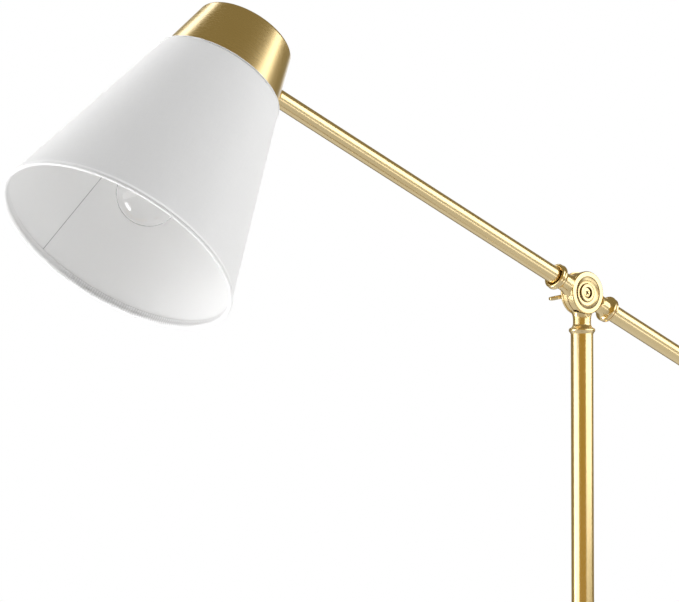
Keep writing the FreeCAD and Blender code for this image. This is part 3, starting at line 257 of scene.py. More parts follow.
world = bpy.data.worlds.new("studio")
bpy.context.scene.world = world
room = Finish("studio", world)
room.tree.nodes.clear()
direction = room.node("ShaderNodeTexCoord", output="Generated")
toward_wall = room.node("ShaderNodeVectorMath", {"operation": "DOT_PRODUCT"},
                        {0: direction, 1: (away.x, away.y, 0)}, output="Value")
height = room.split(direction)[2]
wall_share = toward_wall.between(*WALL_FADE) * height.between(*HORIZON_FADE)
seen, mirrored, through = room.outputs(
    "ShaderNodeLightPath", ("Is Camera Ray", "Is Glossy Ray", "Is Transmission Ray"))
corners = room.mix(toward_wall.between(*WARM_FADE), ROOM_DARK, ROOM_WARM)
soft = room.mix(mirrored, AMBIENT, room.mix(wall_share, corners, WHITE))
shown = (seen + through).maths("MINIMUM", 1)
colour = room.mix(shown, soft, WHITE)
background = room.node("ShaderNodeBackground", {}, {"Color": colour, "Strength": 1.0})
output = room.tree.nodes.new("ShaderNodeOutputWorld")
room.tree.links.new(background.socket, output.inputs["Surface"])
bpy.context.scene.view_settings.view_transform = "Standard"
print("world with", len(room.tree.nodes), "nodes")

# %% [markdown]
# ## Soft boxes
#
# A photographer lights metal and cloth with the same boxes, and moves them until both
# look right. Here the two are set apart: a box can have a shine, which only metal and
# glass mirror, and a fall, which only reaches matt surfaces. Two tall boxes beside the
# camera draw the two bright lines along every tube, smaller ones below and behind add
# the thin streaks on swivel and cap, and the window is the highlight on the bulb. The
# walls and the ceiling shade the cloth.

# %% Soft boxes
SHADE_MIDDLE = Vector((-0.2, 0, 1.2))
# name; degrees round from the camera and up; distance, width, height; shine and fall in watts
SOFT_BOXES = (
    ("left box", 65, 8, 2.6, 3.0, 1.6, 32, 0),
    ("right box", -77, 14, 2.6, 3.5, 1.5, 35, 0),
    ("back box", 139, 46, 2.6, 0.36, 0.95, 2.8, 0),
    ("low box", -75, -28, 1.9, 2.4, 0.25, 2.4, 8.5),
    ("window", 84, -22, 1.5, 0.32, 0.5, 6.0, 0),
    ("left wall", 88, 8, 2.6, 3.0, 1.6, 0, 35),
    ("right wall", -95, 14, 2.6, 2.5, 1.75, 0, 51),
    ("ceiling", 0, 75, 2.4, 2.5, 2.5, 0, 40),
    ("low wall", 60, -28, 1.9, 1.6, 0.5, 0, 16.5),
    ("back wall", 140, 35, 2.4, 1.5, 1.5, 0, 26),
)


def add_light(name, way, distance, width, height, power, is_shine):
    """Area light in a direction from the shade, for mirrors only or for matt surfaces only."""
    data = bpy.data.lights.new(name, "AREA")
    data.shape = "RECTANGLE"
    data.size = width
    data.size_y = height
    data.energy = power
    light = bpy.data.objects.new(name, data)
    bpy.context.scene.collection.objects.link(light)
    light.location = SHADE_MIDDLE + way * distance
    light.rotation_euler = (-way).to_track_quat("-Z", "Y").to_euler()
    light.visible_camera = False
    light.visible_diffuse = not is_shine
    light.visible_glossy = is_shine
    light.visible_transmission = is_shine


straight = Vector((toward_camera.x, toward_camera.y, 0)).normalized()
for name, around, rise, distance, width, height, shine, fall in SOFT_BOXES:
    flat = Matrix.Rotation(-math.radians(around), 3, "Z") @ straight
    up = math.radians(rise)
    way = Vector((flat.x * math.cos(up), flat.y * math.cos(up), math.sin(up)))
    for part, power in (("shine", shine), ("fall", fall)):
        if power:
            add_light(f"{name} {part}", way, distance, width, height, power, part == "shine")
print("lights:", len(bpy.data.lights))

# %% [markdown]
# ## Floor
#
# The floor is a pale sheet, painted darker towards the camera as painted shade and
# paler beyond the lamp. In a studio it would curve up into the wall; here it stays
# flat, and fades out for the camera round the base. The undersides of arm and cap
# mirror it, and a mirror of softly lit paper comes out speckled. So metal sees the
# same tone as a glow, a painted reflection, which fades into the dark room behind the
# lamp.

# %% Floor
FLOOR_SIZE = 12
FLOOR_SHADED_NEAR = (0.68,) * 3
FLOOR_LIT_FAR = (0.92,) * 3
PALE_DEPTHS = (-1.2, 0.8)
DARK_DEPTHS = (1.0, 2.5)
FLOOR_GLOW = 0.75
FADE_OUT = (0.45, 1.3)

bpy.ops.mesh.primitive_plane_add(size=FLOOR_SIZE, location=FLOOR)
floor = bpy.context.object
floor.name = "floor"
sheet = Finish("floor")
x, y, z = sheet.split(sheet.place(FLOOR, 0.0))
depth = x * away.x + y * away.y
# Painted shade: the floor's colour is darker towards the camera and paler beyond the lamp.
pale = sheet.mix(depth.between(*PALE_DEPTHS), FLOOR_SHADED_NEAR, FLOOR_LIT_FAR)
seen, mirrored = sheet.outputs("ShaderNodeLightPath", ("Is Camera Ray", "Is Glossy Ray"))
# Painted reflection: for mirrors the floor glows with that tone, darkening to the dark room colour
# far behind.
glow = sheet.mix(depth.between(*DARK_DEPTHS), pale, ROOM_DARK)
floor.data.materials.append(sheet.set(
    Base_Color=sheet.mix(mirrored, pale, BLACK),
    Roughness=0.7,
    Alpha=1 - seen * x.radius_with(y).between(*FADE_OUT),
    Emission_Color=sheet.mix(mirrored, BLACK, glow),
    Emission_Strength=FLOOR_GLOW))
print("floor", FLOOR_SIZE, "m wide, seen to", FADE_OUT[1], "m from the pole")

# %% [markdown]
# ## Tools for modelling
#
# A piece is modelled with the operators of edit mode, as by hand. An operator acts on
# all that is selected, so `open_piece` selects one piece alone and nothing on it, and
# `pick` then selects its faces, edges or points by where they are. `close_piece`
# merges what lies together and turns the faces outwards, and `settle` puts the piece
# on its axis of the lamp, gives it its finish and ties it to the body that moves it.

# %% Select and open
NEAR = 0.01 * MM
WELD = 0.001 * MM
SMOOTH_BELOW = math.radians(35)


def clear_selection():
    if bpy.context.object and bpy.context.object.mode != "OBJECT":
        bpy.ops.object.mode_set(mode="OBJECT")
    bpy.ops.object.select_all(action="DESELECT")


def select_only(piece):
    clear_selection()
    piece.select_set(True)
    bpy.context.view_layer.objects.active = piece


def apply_place():
    bpy.ops.object.transform_apply(location=True, rotation=True, scale=True)


def named(name):
    """Names the primitive just added, and applies its place and turn to its mesh."""
    piece = bpy.context.object
    piece.name = name
    piece.data.name = name
    apply_place()
    return piece


def open_piece(piece):
    select_only(piece)
    bpy.ops.object.mode_set(mode="EDIT")
    bpy.ops.mesh.select_all(action="DESELECT")


print("points closer than", round(NEAR / MM, 3), "mm count as one")

# %% Pick and extrude


def middle(part):
    if isinstance(part, bmesh.types.BMVert):
        return part.co
    return sum((v.co for v in part.verts), Vector()) / len(part.verts)


def pick(piece, kind, test):
    """Selects only the verts, edges or faces that pass a test on them and their middle."""
    bpy.ops.mesh.select_mode(type={"verts": "VERT", "edges": "EDGE", "faces": "FACE"}[kind])
    bpy.ops.mesh.select_all(action="DESELECT")
    mesh = bmesh.from_edit_mesh(piece.data)
    for part in getattr(mesh, kind):
        if test(part, middle(part)):
            part.select_set(True)
    bmesh.update_edit_mesh(piece.data)


def picked_points(piece):
    return [v.co for v in bmesh.from_edit_mesh(piece.data).verts if v.select]


def extrude(way=(0, 0, 0), scale=None):
    """Extrudes what is selected by a step, then scales its new end about the origin."""
    bpy.ops.mesh.extrude_region_move(TRANSFORM_OT_translate={"value": way})
    if scale:
        bpy.ops.transform.resize(value=scale, center_override=(0, 0, 0))


print("tools: pick and extrude")

# %% Close, join and settle


def close_piece(piece, merge=NEAR):
    bpy.ops.mesh.select_all(action="SELECT")
    bpy.ops.mesh.remove_doubles(threshold=merge)
    bpy.ops.mesh.normals_make_consistent(inside=False)
    bpy.ops.object.mode_set(mode="OBJECT")
    return piece


def round_ends(piece, offset):
    """Bevels the rims round a piece's end faces, then closes it."""
    open_piece(piece)
    pick(piece, "edges", lambda edge, at: any(len(face.verts) > 4 for face in edge.link_faces))
    bpy.ops.mesh.bevel(offset=offset, segments=2)
    return close_piece(piece)


def cap_ends(piece):
    """Joins the turns of a swept piece, fills its open ends and closes it."""
    open_piece(piece)
    bpy.ops.mesh.select_all(action="SELECT")
    bpy.ops.mesh.remove_doubles(threshold=WELD)
    bpy.ops.mesh.fill_holes(sides=0)
    return close_piece(piece, WELD)


def finish_with(piece, kind, **settings):
    """Adds a modifier with its settings and applies it."""
    select_only(piece)
    modifier = piece.modifiers.new(kind.lower(), kind)
    for name, value in settings.items():
        setattr(modifier, name, value)
    bpy.ops.object.modifier_apply(modifier=modifier.name)


def join_to(piece, other):
    """Makes another piece a part of this one."""
    select_only(other)
    piece.select_set(True)
    bpy.context.view_layer.objects.active = piece
    bpy.ops.object.join()


def turn_and_move(piece, turn, place=(0, 0, 0)):
    select_only(piece)
    piece.rotation_euler = turn
    piece.location = place
    apply_place()


def settle(piece, centre, turn, material, body, slot, *replaced):
    """Turns a piece modelled upright onto its axis, and ties it to its body."""
    turn_and_move(piece, (0, turn, 0), centre)
    bpy.ops.object.shade_smooth_by_angle(angle=SMOOTH_BELOW)
    piece.data.materials.clear()
    piece.data.materials.append(material)
    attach(piece, body)
    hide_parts(*replaced)
    print(piece.name, len(piece.data.polygons), "faces on", body)


print("tools: close, round, cap, finish, join and settle")

# %% [markdown]
# ## Faces of the swivel
#
# The two drums of the swivel are cast, turned on a lathe and polished. Their colour is
# darkened as painted shade in the corners of the turned steps and in the recess of the
# screw. Both are found by the distance from the screw. The same distance tips the edge
# of the dish and the shoulder of the boss by some degrees, as a slope in the relief,
# which sharpens the rings of light and dark without touching the solid.

# %% Painted groove shade and slopes on the drums
# Painted shade: the colour of the drum faces darkens in the grooves and in the recess of the
# screw.
GROOVE_SHADE = (0.16, 0.11, 0.04)
GROOVE_SHADE_SHARE = 0.85
FACE_FADE = (8.9 * MM, 8.7 * MM)
GROOVE_FADE = (0.7 * MM, 0.2 * MM)
GROOVES = (15.6 * MM, 9.1 * MM, 5.4 * MM)
RECESS_RIM = (3.8 * MM, 3.4 * MM)
RECESS_DEPTH = (7.3 * MM, 6.8 * MM)
DISH_SLOPE = (12.2 * MM, 15.6 * MM, 0.22)
SHOULDER_SLOPE = (7.8 * MM, 9.1 * MM, -0.35)


def drum_faces(finish, local, colour, relief):
    """Adds painted shade in the grooves and the recess to a colour, and the slopes to a relief, on
    both faces.
    """
    x, y, z = finish.split(local)
    from_screw = x.radius_with(z)
    on_face = y.size().between(*FACE_FADE)
    for inner, outer, slope in (DISH_SLOPE, SHOULDER_SLOPE):
        climb = from_screw.maths("MAXIMUM", inner).maths("MINIMUM", outer) - inner
        relief = relief + climb * on_face * slope
    for radius in GROOVES:
        groove = (from_screw - radius).size().between(*GROOVE_FADE)
        colour = finish.mix(groove * on_face * GROOVE_SHADE_SHARE, colour, GROOVE_SHADE)
    recess = from_screw.between(*RECESS_RIM) * y.size().between(*RECESS_DEPTH)
    return finish.mix(recess * GROOVE_SHADE_SHARE, colour, GROOVE_SHADE), relief


# Counts the rings of painted shade, and the recess.
print("residue in", len(GROOVES), "grooves and the recess")

# %% [markdown]
# ## Brass
#
# The lamp is lacquered satin brass. Drawn tubes have a fine grain along them, turned
# parts have rings round their axis, and the spun cap has the rings of the lathe too.
# The grain is a noise stretched along or round the axis, as shallow relief and as a
# small change of gloss, and a wide noise tints the lacquer a little.

# %% Brass finishes
BRASS = (0.88, 0.70, 0.38)
BRASS_DEEP = (0.83, 0.64, 0.31)
LACQUER = 0.6
LACQUER_ROUGHNESS = 0.15
FINE_GRAIN = 9000
LONG_GRAIN = 60
RING_GRAIN = 2
CAST_GRAIN = 500
GRAIN_RELIEF = 0.001 * MM
GRAIN_GLOSS = 0.08
TINT_SCALE = 14.0
TINT_FADE = (0.35, 0.75)
TINT_GLOSS = 0.05


def brass(name, centre, turn, grain, roughness, deep=0.0):
    """Satin brass with its grain along the axis, round it, or cast."""
    finish = Finish(name)
    local = finish.place(centre, turn)
    x, y, z = finish.split(local)
    if grain == "along":
        stretched = finish.join(x * FINE_GRAIN, y * FINE_GRAIN, z * LONG_GRAIN)
    elif grain == "round":
        angle = y.maths("ARCTAN2", x)
        stretched = finish.join(x.radius_with(y) * FINE_GRAIN, z * FINE_GRAIN, angle * RING_GRAIN)
    else:
        stretched = finish.join(x * CAST_GRAIN, y * CAST_GRAIN, z * CAST_GRAIN)
    streaks = finish.noise(stretched, 1.0)
    cloud = finish.noise(local, TINT_SCALE, detail=2.0)
    colour = finish.mix(cloud.between(*TINT_FADE) * 0.5 + deep, BRASS, BRASS_DEEP)
    relief = streaks * GRAIN_RELIEF
    if grain == "cast":
        colour, relief = drum_faces(finish, local, colour, relief)
    return finish.set(
        Base_Color=colour,
        Metallic=1.0,
        Roughness=roughness + (streaks - 0.5) * GRAIN_GLOSS + (cloud - 0.5) * TINT_GLOSS,
        Coat_Weight=LACQUER,
        Coat_Roughness=LACQUER_ROUGHNESS,
        Normal=finish.bump(relief, 1.0))


pole_brass = brass("brass_drawn_pole", FLOOR, 0.0, "along", 0.23)
arm_brass = brass("brass_drawn_arm", KNUCKLE, ARM_TURN, "along", 0.24)
turned_pole = brass("brass_turned_pole", FLOOR, 0.0, "round", 0.26)
turned_arm = brass("brass_turned_arm", KNUCKLE, ARM_TURN, "round", 0.2)
cap_brass = brass("brass_spun_cap", HEAD, HEAD_TURN, "round", 0.28)
cast_brass = brass("brass_cast", KNUCKLE, 0.0, "cast", 0.25, deep=0.3)
print("six brass finishes")

# %% [markdown]
# ## Plain finishes
#
# Steel nuts, the iron weight, the plastic bushing and the fibre washers are mostly
# hidden, so one recipe serves them all: a colour that clouds a little into a second
# one, a grain of its own size, and a relief.

# %% Steel, iron, plastic, felt, fibre, tungsten
CLOUD_SCALE = 45.0
CLOUD_FADE = (0.3, 0.7)
SPECK_GLOSS = 0.15


def plain(name, first, second, roughness, grain, relief, metallic=0.0):
    finish = Finish(name)
    local = finish.place(FLOOR, 0.0)
    cloud = finish.noise(local, CLOUD_SCALE, detail=2.0)
    specks = finish.noise(local, grain, detail=4.0)
    return finish.set(
        Base_Color=finish.mix(cloud.between(*CLOUD_FADE), first, second),
        Metallic=metallic,
        Roughness=roughness + (specks - 0.5) * SPECK_GLOSS,
        Normal=finish.bump(specks, relief))


steel = plain("zinc_plated_steel", (0.66, 0.65, 0.61), (0.55, 0.56, 0.56),
              roughness=0.33, grain=1800.0, relief=0.004 * MM, metallic=1.0)
iron = plain("painted_cast_iron", (0.045, 0.045, 0.05), (0.07, 0.068, 0.065),
             roughness=0.6, grain=700.0, relief=0.12 * MM)
black = plain("black_plastic", (0.02, 0.02, 0.02), (0.03, 0.03, 0.032),
              roughness=0.42, grain=3000.0, relief=0.01 * MM)
felt = plain("black_felt", (0.03, 0.03, 0.032), (0.06, 0.058, 0.055),
             roughness=0.95, grain=1500.0, relief=0.25 * MM)
fibre = plain("fibre_washer", (0.22, 0.09, 0.05), (0.30, 0.14, 0.08),
              roughness=0.7, grain=2500.0, relief=0.03 * MM)
phenolic = plain("white_phenolic", (0.74, 0.73, 0.69), (0.68, 0.67, 0.63),
                 roughness=0.35, grain=900.0, relief=0.01 * MM)
tungsten = plain("tungsten", (0.30, 0.30, 0.32), (0.22, 0.22, 0.24),
                 roughness=0.35, grain=5000.0, relief=0.002 * MM, metallic=1.0)
print("seven plain finishes")

# %% [markdown]
# ## Shade: cloth cut flat and rolled into a cone
#
# The shade is a sheet of white linen laminated on a stiff lining. The sheet is cut
# flat as a ring sector and rolled into a cone, so the threads run straight across the
# flat cut and turn slowly round the cone. The weave is worked out the same way: the
# distance from the cone's point and the angle round it give the place on the flat cut,
# and the threads are drawn there.

# %% Place on the flat cut
RIM_RADIUS = 116.2 * MM
SHADE_TOP_RADIUS = 63.2 * MM
SHADE_LENGTH = 196.4 * MM
SLOPE = (RIM_RADIUS - SHADE_TOP_RADIUS) / SHADE_LENGTH
CONE_ANGLE = math.atan(SLOPE)
CONE_POINT = SHADE_TOP_RADIUS / SLOPE


def flat_cut(finish, x, y, z):
    """Place on the flat cut of the cone, measured from its middle line."""
    round_angle = x.maths("ARCTAN2", y * -1) * math.sin(CONE_ANGLE)
    from_point = (CONE_POINT - z) / math.cos(CONE_ANGLE)
    return from_point * round_angle.maths("SINE"), from_point * round_angle.maths("COSINE")


print("half angle of the cone", round(math.degrees(CONE_ANGLE), 2), "degrees")

# %% [markdown]
# ## Linen and tape
#
# A plain weave is two waves at right angles, one over the other by turns, with thick
# and thin places in the yarn. Where the cloth is turned over the top ring its colour is
# painted whiter, a painted highlight along the fold. The rim's tape is cut straight, so
# where its inner edge is drawn in round the ring it puckers, and a wave round the axis
# draws those gathers, with painted shade in their dips on the near part of the rim.

# %% Cloth finishes
THREAD = 0.55 * MM
SLUB = 60
SLUB_FADE = (0.35, 0.65)
CROSSING_FADE = (-0.2, 0.2)
CLOTH_ROUGHNESS = 0.9
# Painted highlight on the cloth's top fold: its colour and where it starts.
FOLD_HIGHLIGHT = (0.98, 0.98, 0.98)
FOLD_HIGHLIGHT_FADE = (-2.4 * MM, -1.8 * MM)
GATHERS = 300
GATHER_SHADOW = (0.72, 0.72, 0.72)
GATHERED_INSIDE = (113.6 * MM, 112.6 * MM)
GATHERED_START = (-1.3, -1.0)
GATHERED_END = (math.radians(83), math.radians(83) - 0.35)


def gather(finish, x, y, colour, height):
    """Adds the gathers to a colour, as painted shade in their dips, and to a relief, only inside
    the near part of the rim where that shade falls.
    """
    angle = y.maths("ARCTAN2", x)
    folds = (angle * GATHERS).maths("SINE").between(-1, 1)
    folds = folds * x.radius_with(y).between(*GATHERED_INSIDE)
    folds = folds * angle.between(*GATHERED_END) * angle.between(*GATHERED_START)
    # Painted shade: the dips of the gathers are darkened towards GATHER_SHADOW.
    return finish.mix(folds * 0.6, colour, GATHER_SHADOW), height + folds * 1.5


def woven(name, first, second, thread, relief, gathered=False):
    """Plain weave: threads along and across the flat cut, over and under by turns."""
    finish = Finish(name)
    x, y, z = finish.split(finish.place(HEAD, HEAD_TURN))
    across, down = flat_cut(finish, x, y, z)
    warp = (across * (math.pi / thread)).maths("SINE")
    weft = (down * (math.pi / thread)).maths("SINE")
    over = (warp * weft).between(*CROSSING_FADE)
    threads = over * warp.size() + (1 - over) * weft.size()
    slub_down = finish.noise(finish.join(across / thread, down * SLUB, 0.0), 1.0)
    slub_across = finish.noise(finish.join(across * SLUB, down / thread, 3.0), 1.0)
    slubs = slub_down * 0.5 + slub_across * 0.5
    height = threads * 0.6 + slubs * 0.8
    colour = finish.mix(threads * 0.35 + slubs.between(*SLUB_FADE) * 0.65, second, first)
    # The band just below the top edge is painted whiter: a painted highlight on the fold.
    colour = finish.mix(z.between(*FOLD_HIGHLIGHT_FADE), colour, FOLD_HIGHLIGHT)
    if gathered:
        colour, height = gather(finish, x, y, colour, height)
    return finish.set(
        Base_Color=colour,
        Roughness=CLOTH_ROUGHNESS,
        Sheen_Weight=0.1,
        Sheen_Roughness=0.5,
        Normal=finish.bump(height, relief))


linen = woven("white_linen", (0.86, 0.86, 0.86), (0.82, 0.82, 0.82), THREAD, 0.05 * MM)
tape = woven("white_tape", (0.94, 0.94, 0.94), (0.90, 0.90, 0.90), 1.3 * THREAD, 0.08 * MM,
             gathered=True)
print("linen and tape, thread", round(THREAD / MM, 2), "mm")

# %% [markdown]
# ## Lining finish
#
# The lining is a smooth white plastic sheet with a faint pebble. Where its two edges
# overlap, the upper one throws a hairline of shadow on the lower one. The step there
# is only half a millimetre high, too low to catch the soft light, so the finish darkens
# the line by the distance from it.

# %% Lining finish
LAP_STEP = 1.2 * MM
LAP_SHADOW = 0.5 * MM
SHADOW_GREY = (0.50, 0.50, 0.50)
PEBBLE_SCALE = 1400.0
PEBBLE_RELIEF = 0.01 * MM


def styrene():
    """Smooth white lining with a faint pebble, and the shadow line at its lap."""
    finish = Finish("white_styrene")
    local = finish.place(HEAD, HEAD_TURN)
    pebble = finish.noise(local, PEBBLE_SCALE)
    cloud = finish.noise(local, 25.0, detail=1.0)
    x, y, z = finish.split(local)
    other_side = y.between(0.0, -1 * MM)
    from_lap = (x - LAP_STEP).size() + other_side
    white = finish.mix(cloud, (0.96, 0.96, 0.96), (0.94, 0.94, 0.94))
    return finish.set(
        Base_Color=finish.mix(from_lap.between(LAP_SHADOW / 2, LAP_SHADOW), SHADOW_GREY, white),
        Roughness=0.55 + (pebble - 0.5) * 0.2,
        Normal=finish.bump(pebble, PEBBLE_RELIEF))


lining_white = styrene()
print("lining with a shadow line", LAP_SHADOW / MM, "mm wide on each side")

# %% [markdown]
# ## Shade cloth
#
# A cone without ends is slit along one line, on the side turned away from the camera.
# One free edge is drawn out past the other and lifted by a thickness, which makes the
# glued lap of a real shade. The other is tucked back a little, so the two edges never
# touch under the lap. The top edge is turned over the ring, and that fold, painted
# whiter as a painted highlight, is the thin bright line under the cap.

# %% A rolled sheet with its lap
SIDES = 240
RINGS = 12
SKIN = 1 / math.cos(CONE_ANGLE)
SKIRT = -194.0 * MM
LAP = 7 * MM
TUCK = 1.1 * MM


def on_slit(edge, at):
    return edge.is_boundary and abs(at.x) < NEAR and at.y > 0


def rolled_sheet(name, inset, top, lift, settle_back):
    """Cone-shaped sheet, inset from the shade's outer face, with a lap at its seam."""
    top_radius = SHADE_TOP_RADIUS - inset * SKIN - top * SLOPE
    bottom_radius = SHADE_TOP_RADIUS - inset * SKIN - SKIRT * SLOPE
    clear_selection()
    bpy.ops.mesh.primitive_cone_add(vertices=SIDES, radius1=bottom_radius, radius2=top_radius,
                                    depth=top - SKIRT, end_fill_type="NOTHING",
                                    location=(0, 0, (top + SKIRT) / 2))
    sheet = named(name)
    open_piece(sheet)
    pick(sheet, "edges",
         lambda edge, at: abs(edge.verts[0].co.z - edge.verts[1].co.z) > top_radius / 2)
    bpy.ops.mesh.subdivide(number_cuts=RINGS - 1)
    pick(sheet, "edges",
         lambda edge, at: all(abs(v.co.x) < NEAR and v.co.y > 0 for v in edge.verts))
    bpy.ops.mesh.edge_split(type="EDGE")
    side = -1 if lift > 0 else 1
    pick(sheet, "edges",
         lambda edge, at: on_slit(edge, at) and middle(edge.link_faces[0]).x * side > 0)
    bpy.ops.transform.translate(value=(side * TUCK, 0, 0))
    pick(sheet, "edges",
         lambda edge, at: on_slit(edge, at) and middle(edge.link_faces[0]).x * side < 0)
    extrude((side * LAP_STEP, lift, 0))
    extrude((side * LAP, -settle_back, 0))
    return sheet


print("sheets of", SIDES, "by", RINGS, "faces with a lap of", round(LAP / MM, 1), "mm")

# %% Cloth with its fold
CLOTH = 0.45 * MM
CLOTH_INSET = 0.8 * MM
TOP_EDGE = -1.7 * MM
# millimetres outward and up, from the top edge over the ring and down inside it
TOP_FOLD = ((0.55, 0.2), (0.3, 0.4), (-0.2, 0.5), (-0.7, 0.3), (-0.4, -0.4), (0.0, -3.0))

cloth = rolled_sheet("shade_cloth", CLOTH_INSET, TOP_EDGE, 0.55 * MM, 0.3 * MM)
radius = SHADE_TOP_RADIUS - CLOTH_INSET * SKIN - TOP_EDGE * SLOPE
pick(cloth, "edges", lambda edge, at: edge.is_boundary
     and all(abs(v.co.z - TOP_EDGE) < NEAR for v in edge.verts))
for outward, rise in TOP_FOLD:
    share = (radius + outward * MM) / radius
    extrude((0, 0, rise * MM), (share, share, 1))
    radius += outward * MM
close_piece(cloth, WELD)
finish_with(cloth, "SOLIDIFY", thickness=CLOTH, offset=-1)
settle(cloth, HEAD, HEAD_TURN, linen, "head", "fabric", "shade_fabric")

# %% [markdown]
# ## Lining
#
# The lining is a second sheet, a thickness inside the cloth. Its lap lies on the other
# side of the line and steps inwards, and it is the thin straight line that shows inside
# the shade.

# %% Lining
LINING_INSET = 1.5 * MM
LINING_TOP = -0.6 * MM

lining = rolled_sheet("lining_sheet", LINING_INSET, LINING_TOP, -0.5 * MM, -0.15 * MM)
close_piece(lining, WELD)
finish_with(lining, "SOLIDIFY", thickness=CLOTH, offset=-1)
settle(lining, HEAD, HEAD_TURN, lining_white, "head", "lining", "shade_lining")

# %% [markdown]
# ## Rim binding
#
# The rim is a cotton tape rolled round a wire and glued down outside and inside. Its
# section is drawn like a line on paper: one point, extruded from place to place, with
# the small ribs of the tape outside and its free edge inside. The line is then spun
# once round the axis.

# %% Rim binding
# millimetres in from the cloth and up from the shade's edge
TAPE_SECTION = (
    (0.75, 5.8), (0.4, 5.6), (0.25, 4.4), (-0.15, 3.4), (-0.4, 2.6), (0.2, 1.9), (-0.25, 1.3),
    (0.1, 0.5), (0.9, 0.05), (1.8, 0.0), (2.8, 0.25), (3.5, 0.9), (3.8, 1.8), (3.7, 2.7),
    (3.1, 3.7), (2.7, 4.8), (2.65, 7.1), (2.4, 7.4), (2.1, 7.2), (2.1, 4.6), (1.45, 2.9),
    (0.85, 4.4), (0.75, 5.8))


def on_shade(inward, up):
    return Vector((RIM_RADIUS - (up * SLOPE + inward) * MM, 0, up * MM - SHADE_LENGTH))


points = [on_shade(*point) for point in TAPE_SECTION]
clear_selection()
bpy.ops.mesh.primitive_circle_add(vertices=3, radius=0.1 * MM, location=points[0])
binding = named("tape_binding")
open_piece(binding)
pick(binding, "verts", lambda vert, at: True)
bpy.ops.mesh.merge(type="CENTER")
for here, there in zip(points, points[1:]):
    extrude(there - here)
bpy.ops.mesh.select_all(action="SELECT")
bpy.ops.mesh.spin(steps=SIDES, angle=FULL_TURN, center=(0, 0, 0), axis=(0, 0, 1))
close_piece(binding)
settle(binding, HEAD, HEAD_TURN, tape, "head", "fabric", "rim_binding")

# %% [markdown]
# ## What the sheets were cut from
#
# A cone unrolls into a sector of a ring, whose two radii are measured from the cone's
# point along its side. From them and the sector's angle come the width and the height
# of the cloth that is needed, and its area.

# %% What the sheets were cut from


def flat_sector(top, bottom):
    """Width, height and area of the flat ring sector that rolls into the cone."""
    far = (CONE_POINT - bottom) / math.cos(CONE_ANGLE)
    near = (CONE_POINT - top) / math.cos(CONE_ANGLE)
    half = math.pi * math.sin(CONE_ANGLE)
    return 2 * far * math.sin(half), far - near * math.cos(half), half * (far ** 2 - near ** 2)


for sheet, top, extras in ((cloth, TOP_EDGE, [binding]), (lining, LINING_TOP, [])):
    wide, high, area = flat_sector(top, SKIRT)
    print(sheet.name, "was cut from", round(wide, 3), "x", round(high, 3), "m,",
          round(area, 4), "square metres")

# %% [markdown]
# ## Screw threads
#
# A thread is one tooth that climbs by its own height in each turn. The Screw modifier
# does exactly that with an open outline of one tooth. The turns are then merged into
# one closed surface and the ends filled, and a short barrel with rounded rims makes
# the end of the rod. The pipe inside the shade and the tip of the pivot screw are made
# so.

# %% A threaded rod
RING_SIDES = 40
RING_BEVEL = 0.15 * MM
THREAD_STEPS = 20


def threaded(name, radius, depth, pitch, low, high):
    """Rod about Z with a thread on it, and filled ends."""
    tooth = low + pitch / 2
    clear_selection()
    bpy.ops.mesh.primitive_circle_add(vertices=4, radius=depth, rotation=(QUARTER, 0, 0),
                                      location=(radius - depth, 0, tooth))
    rod = named(name)
    open_piece(rod)
    pick(rod, "verts", lambda vert, at: at.x < radius - depth - depth / 2)
    bpy.ops.mesh.delete(type="VERT")
    pick(rod, "verts", lambda vert, at: at.x < radius - depth / 2)
    bpy.ops.transform.resize(value=(1, 1, pitch / 2 / depth), center_override=(0, 0, tooth))
    bpy.ops.object.mode_set(mode="OBJECT")
    finish_with(rod, "SCREW", angle=FULL_TURN, screw_offset=pitch,
                iterations=int((high - low) / pitch) - 1,
                steps=THREAD_STEPS, render_steps=THREAD_STEPS)
    return cap_ends(rod)


def add_ring(piece, radius, low, high, top_radius=None):
    """Adds a closed barrel with rounded rims to a piece, and joins it."""
    clear_selection()
    bpy.ops.mesh.primitive_cone_add(vertices=RING_SIDES, radius1=radius,
                                    radius2=top_radius or radius, depth=high - low,
                                    end_fill_type="NGON", location=(0, 0, (low + high) / 2))
    join_to(piece, round_ends(named("ring"), RING_BEVEL))


print("threads of", THREAD_STEPS, "steps in each turn")

# %% [markdown]
# ## Threaded pipe
#
# A steel pipe with a thread along its whole length carries the cap, the shade and the
# socket, and nuts clamp them on it. The CAD keeps it a plain rod, because a thread is
# slow to cut and useless there. Its ends show, so the scene gives it the thread.

# %% Threaded pipe through the head
pipe = threaded("threaded_head_pipe", 5.0 * MM, 0.35 * MM, 1.0 * MM, -43 * MM, 61 * MM)
add_ring(pipe, 4.7 * MM, -44.0 * MM, -42.4 * MM)
add_ring(pipe, 4.7 * MM, 60.3 * MM, 60.7 * MM)
settle(pipe, HEAD, HEAD_TURN, steel, "head", "zinc", "head_pipe")

# %% [markdown]
# ## Pivot screw
#
# The screw's head lies in the well of the front drum and has a cross recess with
# tapered arms. The recess is a cutter of two crossed wedges, taken out of the head
# with a Boolean modifier. The shank is plain in the drums and threaded in the nut.

# %% Shank and head
SHANK = 3.0 * MM
HEAD_TOP = 7.5 * MM
HEAD_FLOOR = 4.5 * MM
THREAD_START = -8.0 * MM
SCREW_TIP = -19.7 * MM
# millimetres up and share of the radius, from under the head to its top
SCREW_HEAD = ((0.0, 1.65), (0.3, 1.03), (2.0, 1.0), (0.45, 0.93), (0.25, 0.7))

clear_selection()
bpy.ops.mesh.primitive_circle_add(vertices=48, radius=SHANK, location=(0, 0, THREAD_START),
                                  fill_type="NGON")
screw = named("cross_screw")
open_piece(screw)
bpy.ops.mesh.select_all(action="SELECT")
extrude((0, 0, HEAD_FLOOR - THREAD_START))
for rise, share in SCREW_HEAD:
    extrude((0, 0, rise * MM), (share, share, 1))
close_piece(screw)
print("screw head", len(screw.data.polygons), "faces")

# %% Cross recess
RECESS_SIZE = (7.2 * MM, 1.8 * MM, 3.6 * MM)
RECESS_TAPER = (0.4, 0.6, 1)
RECESS_TURN = math.radians(35)

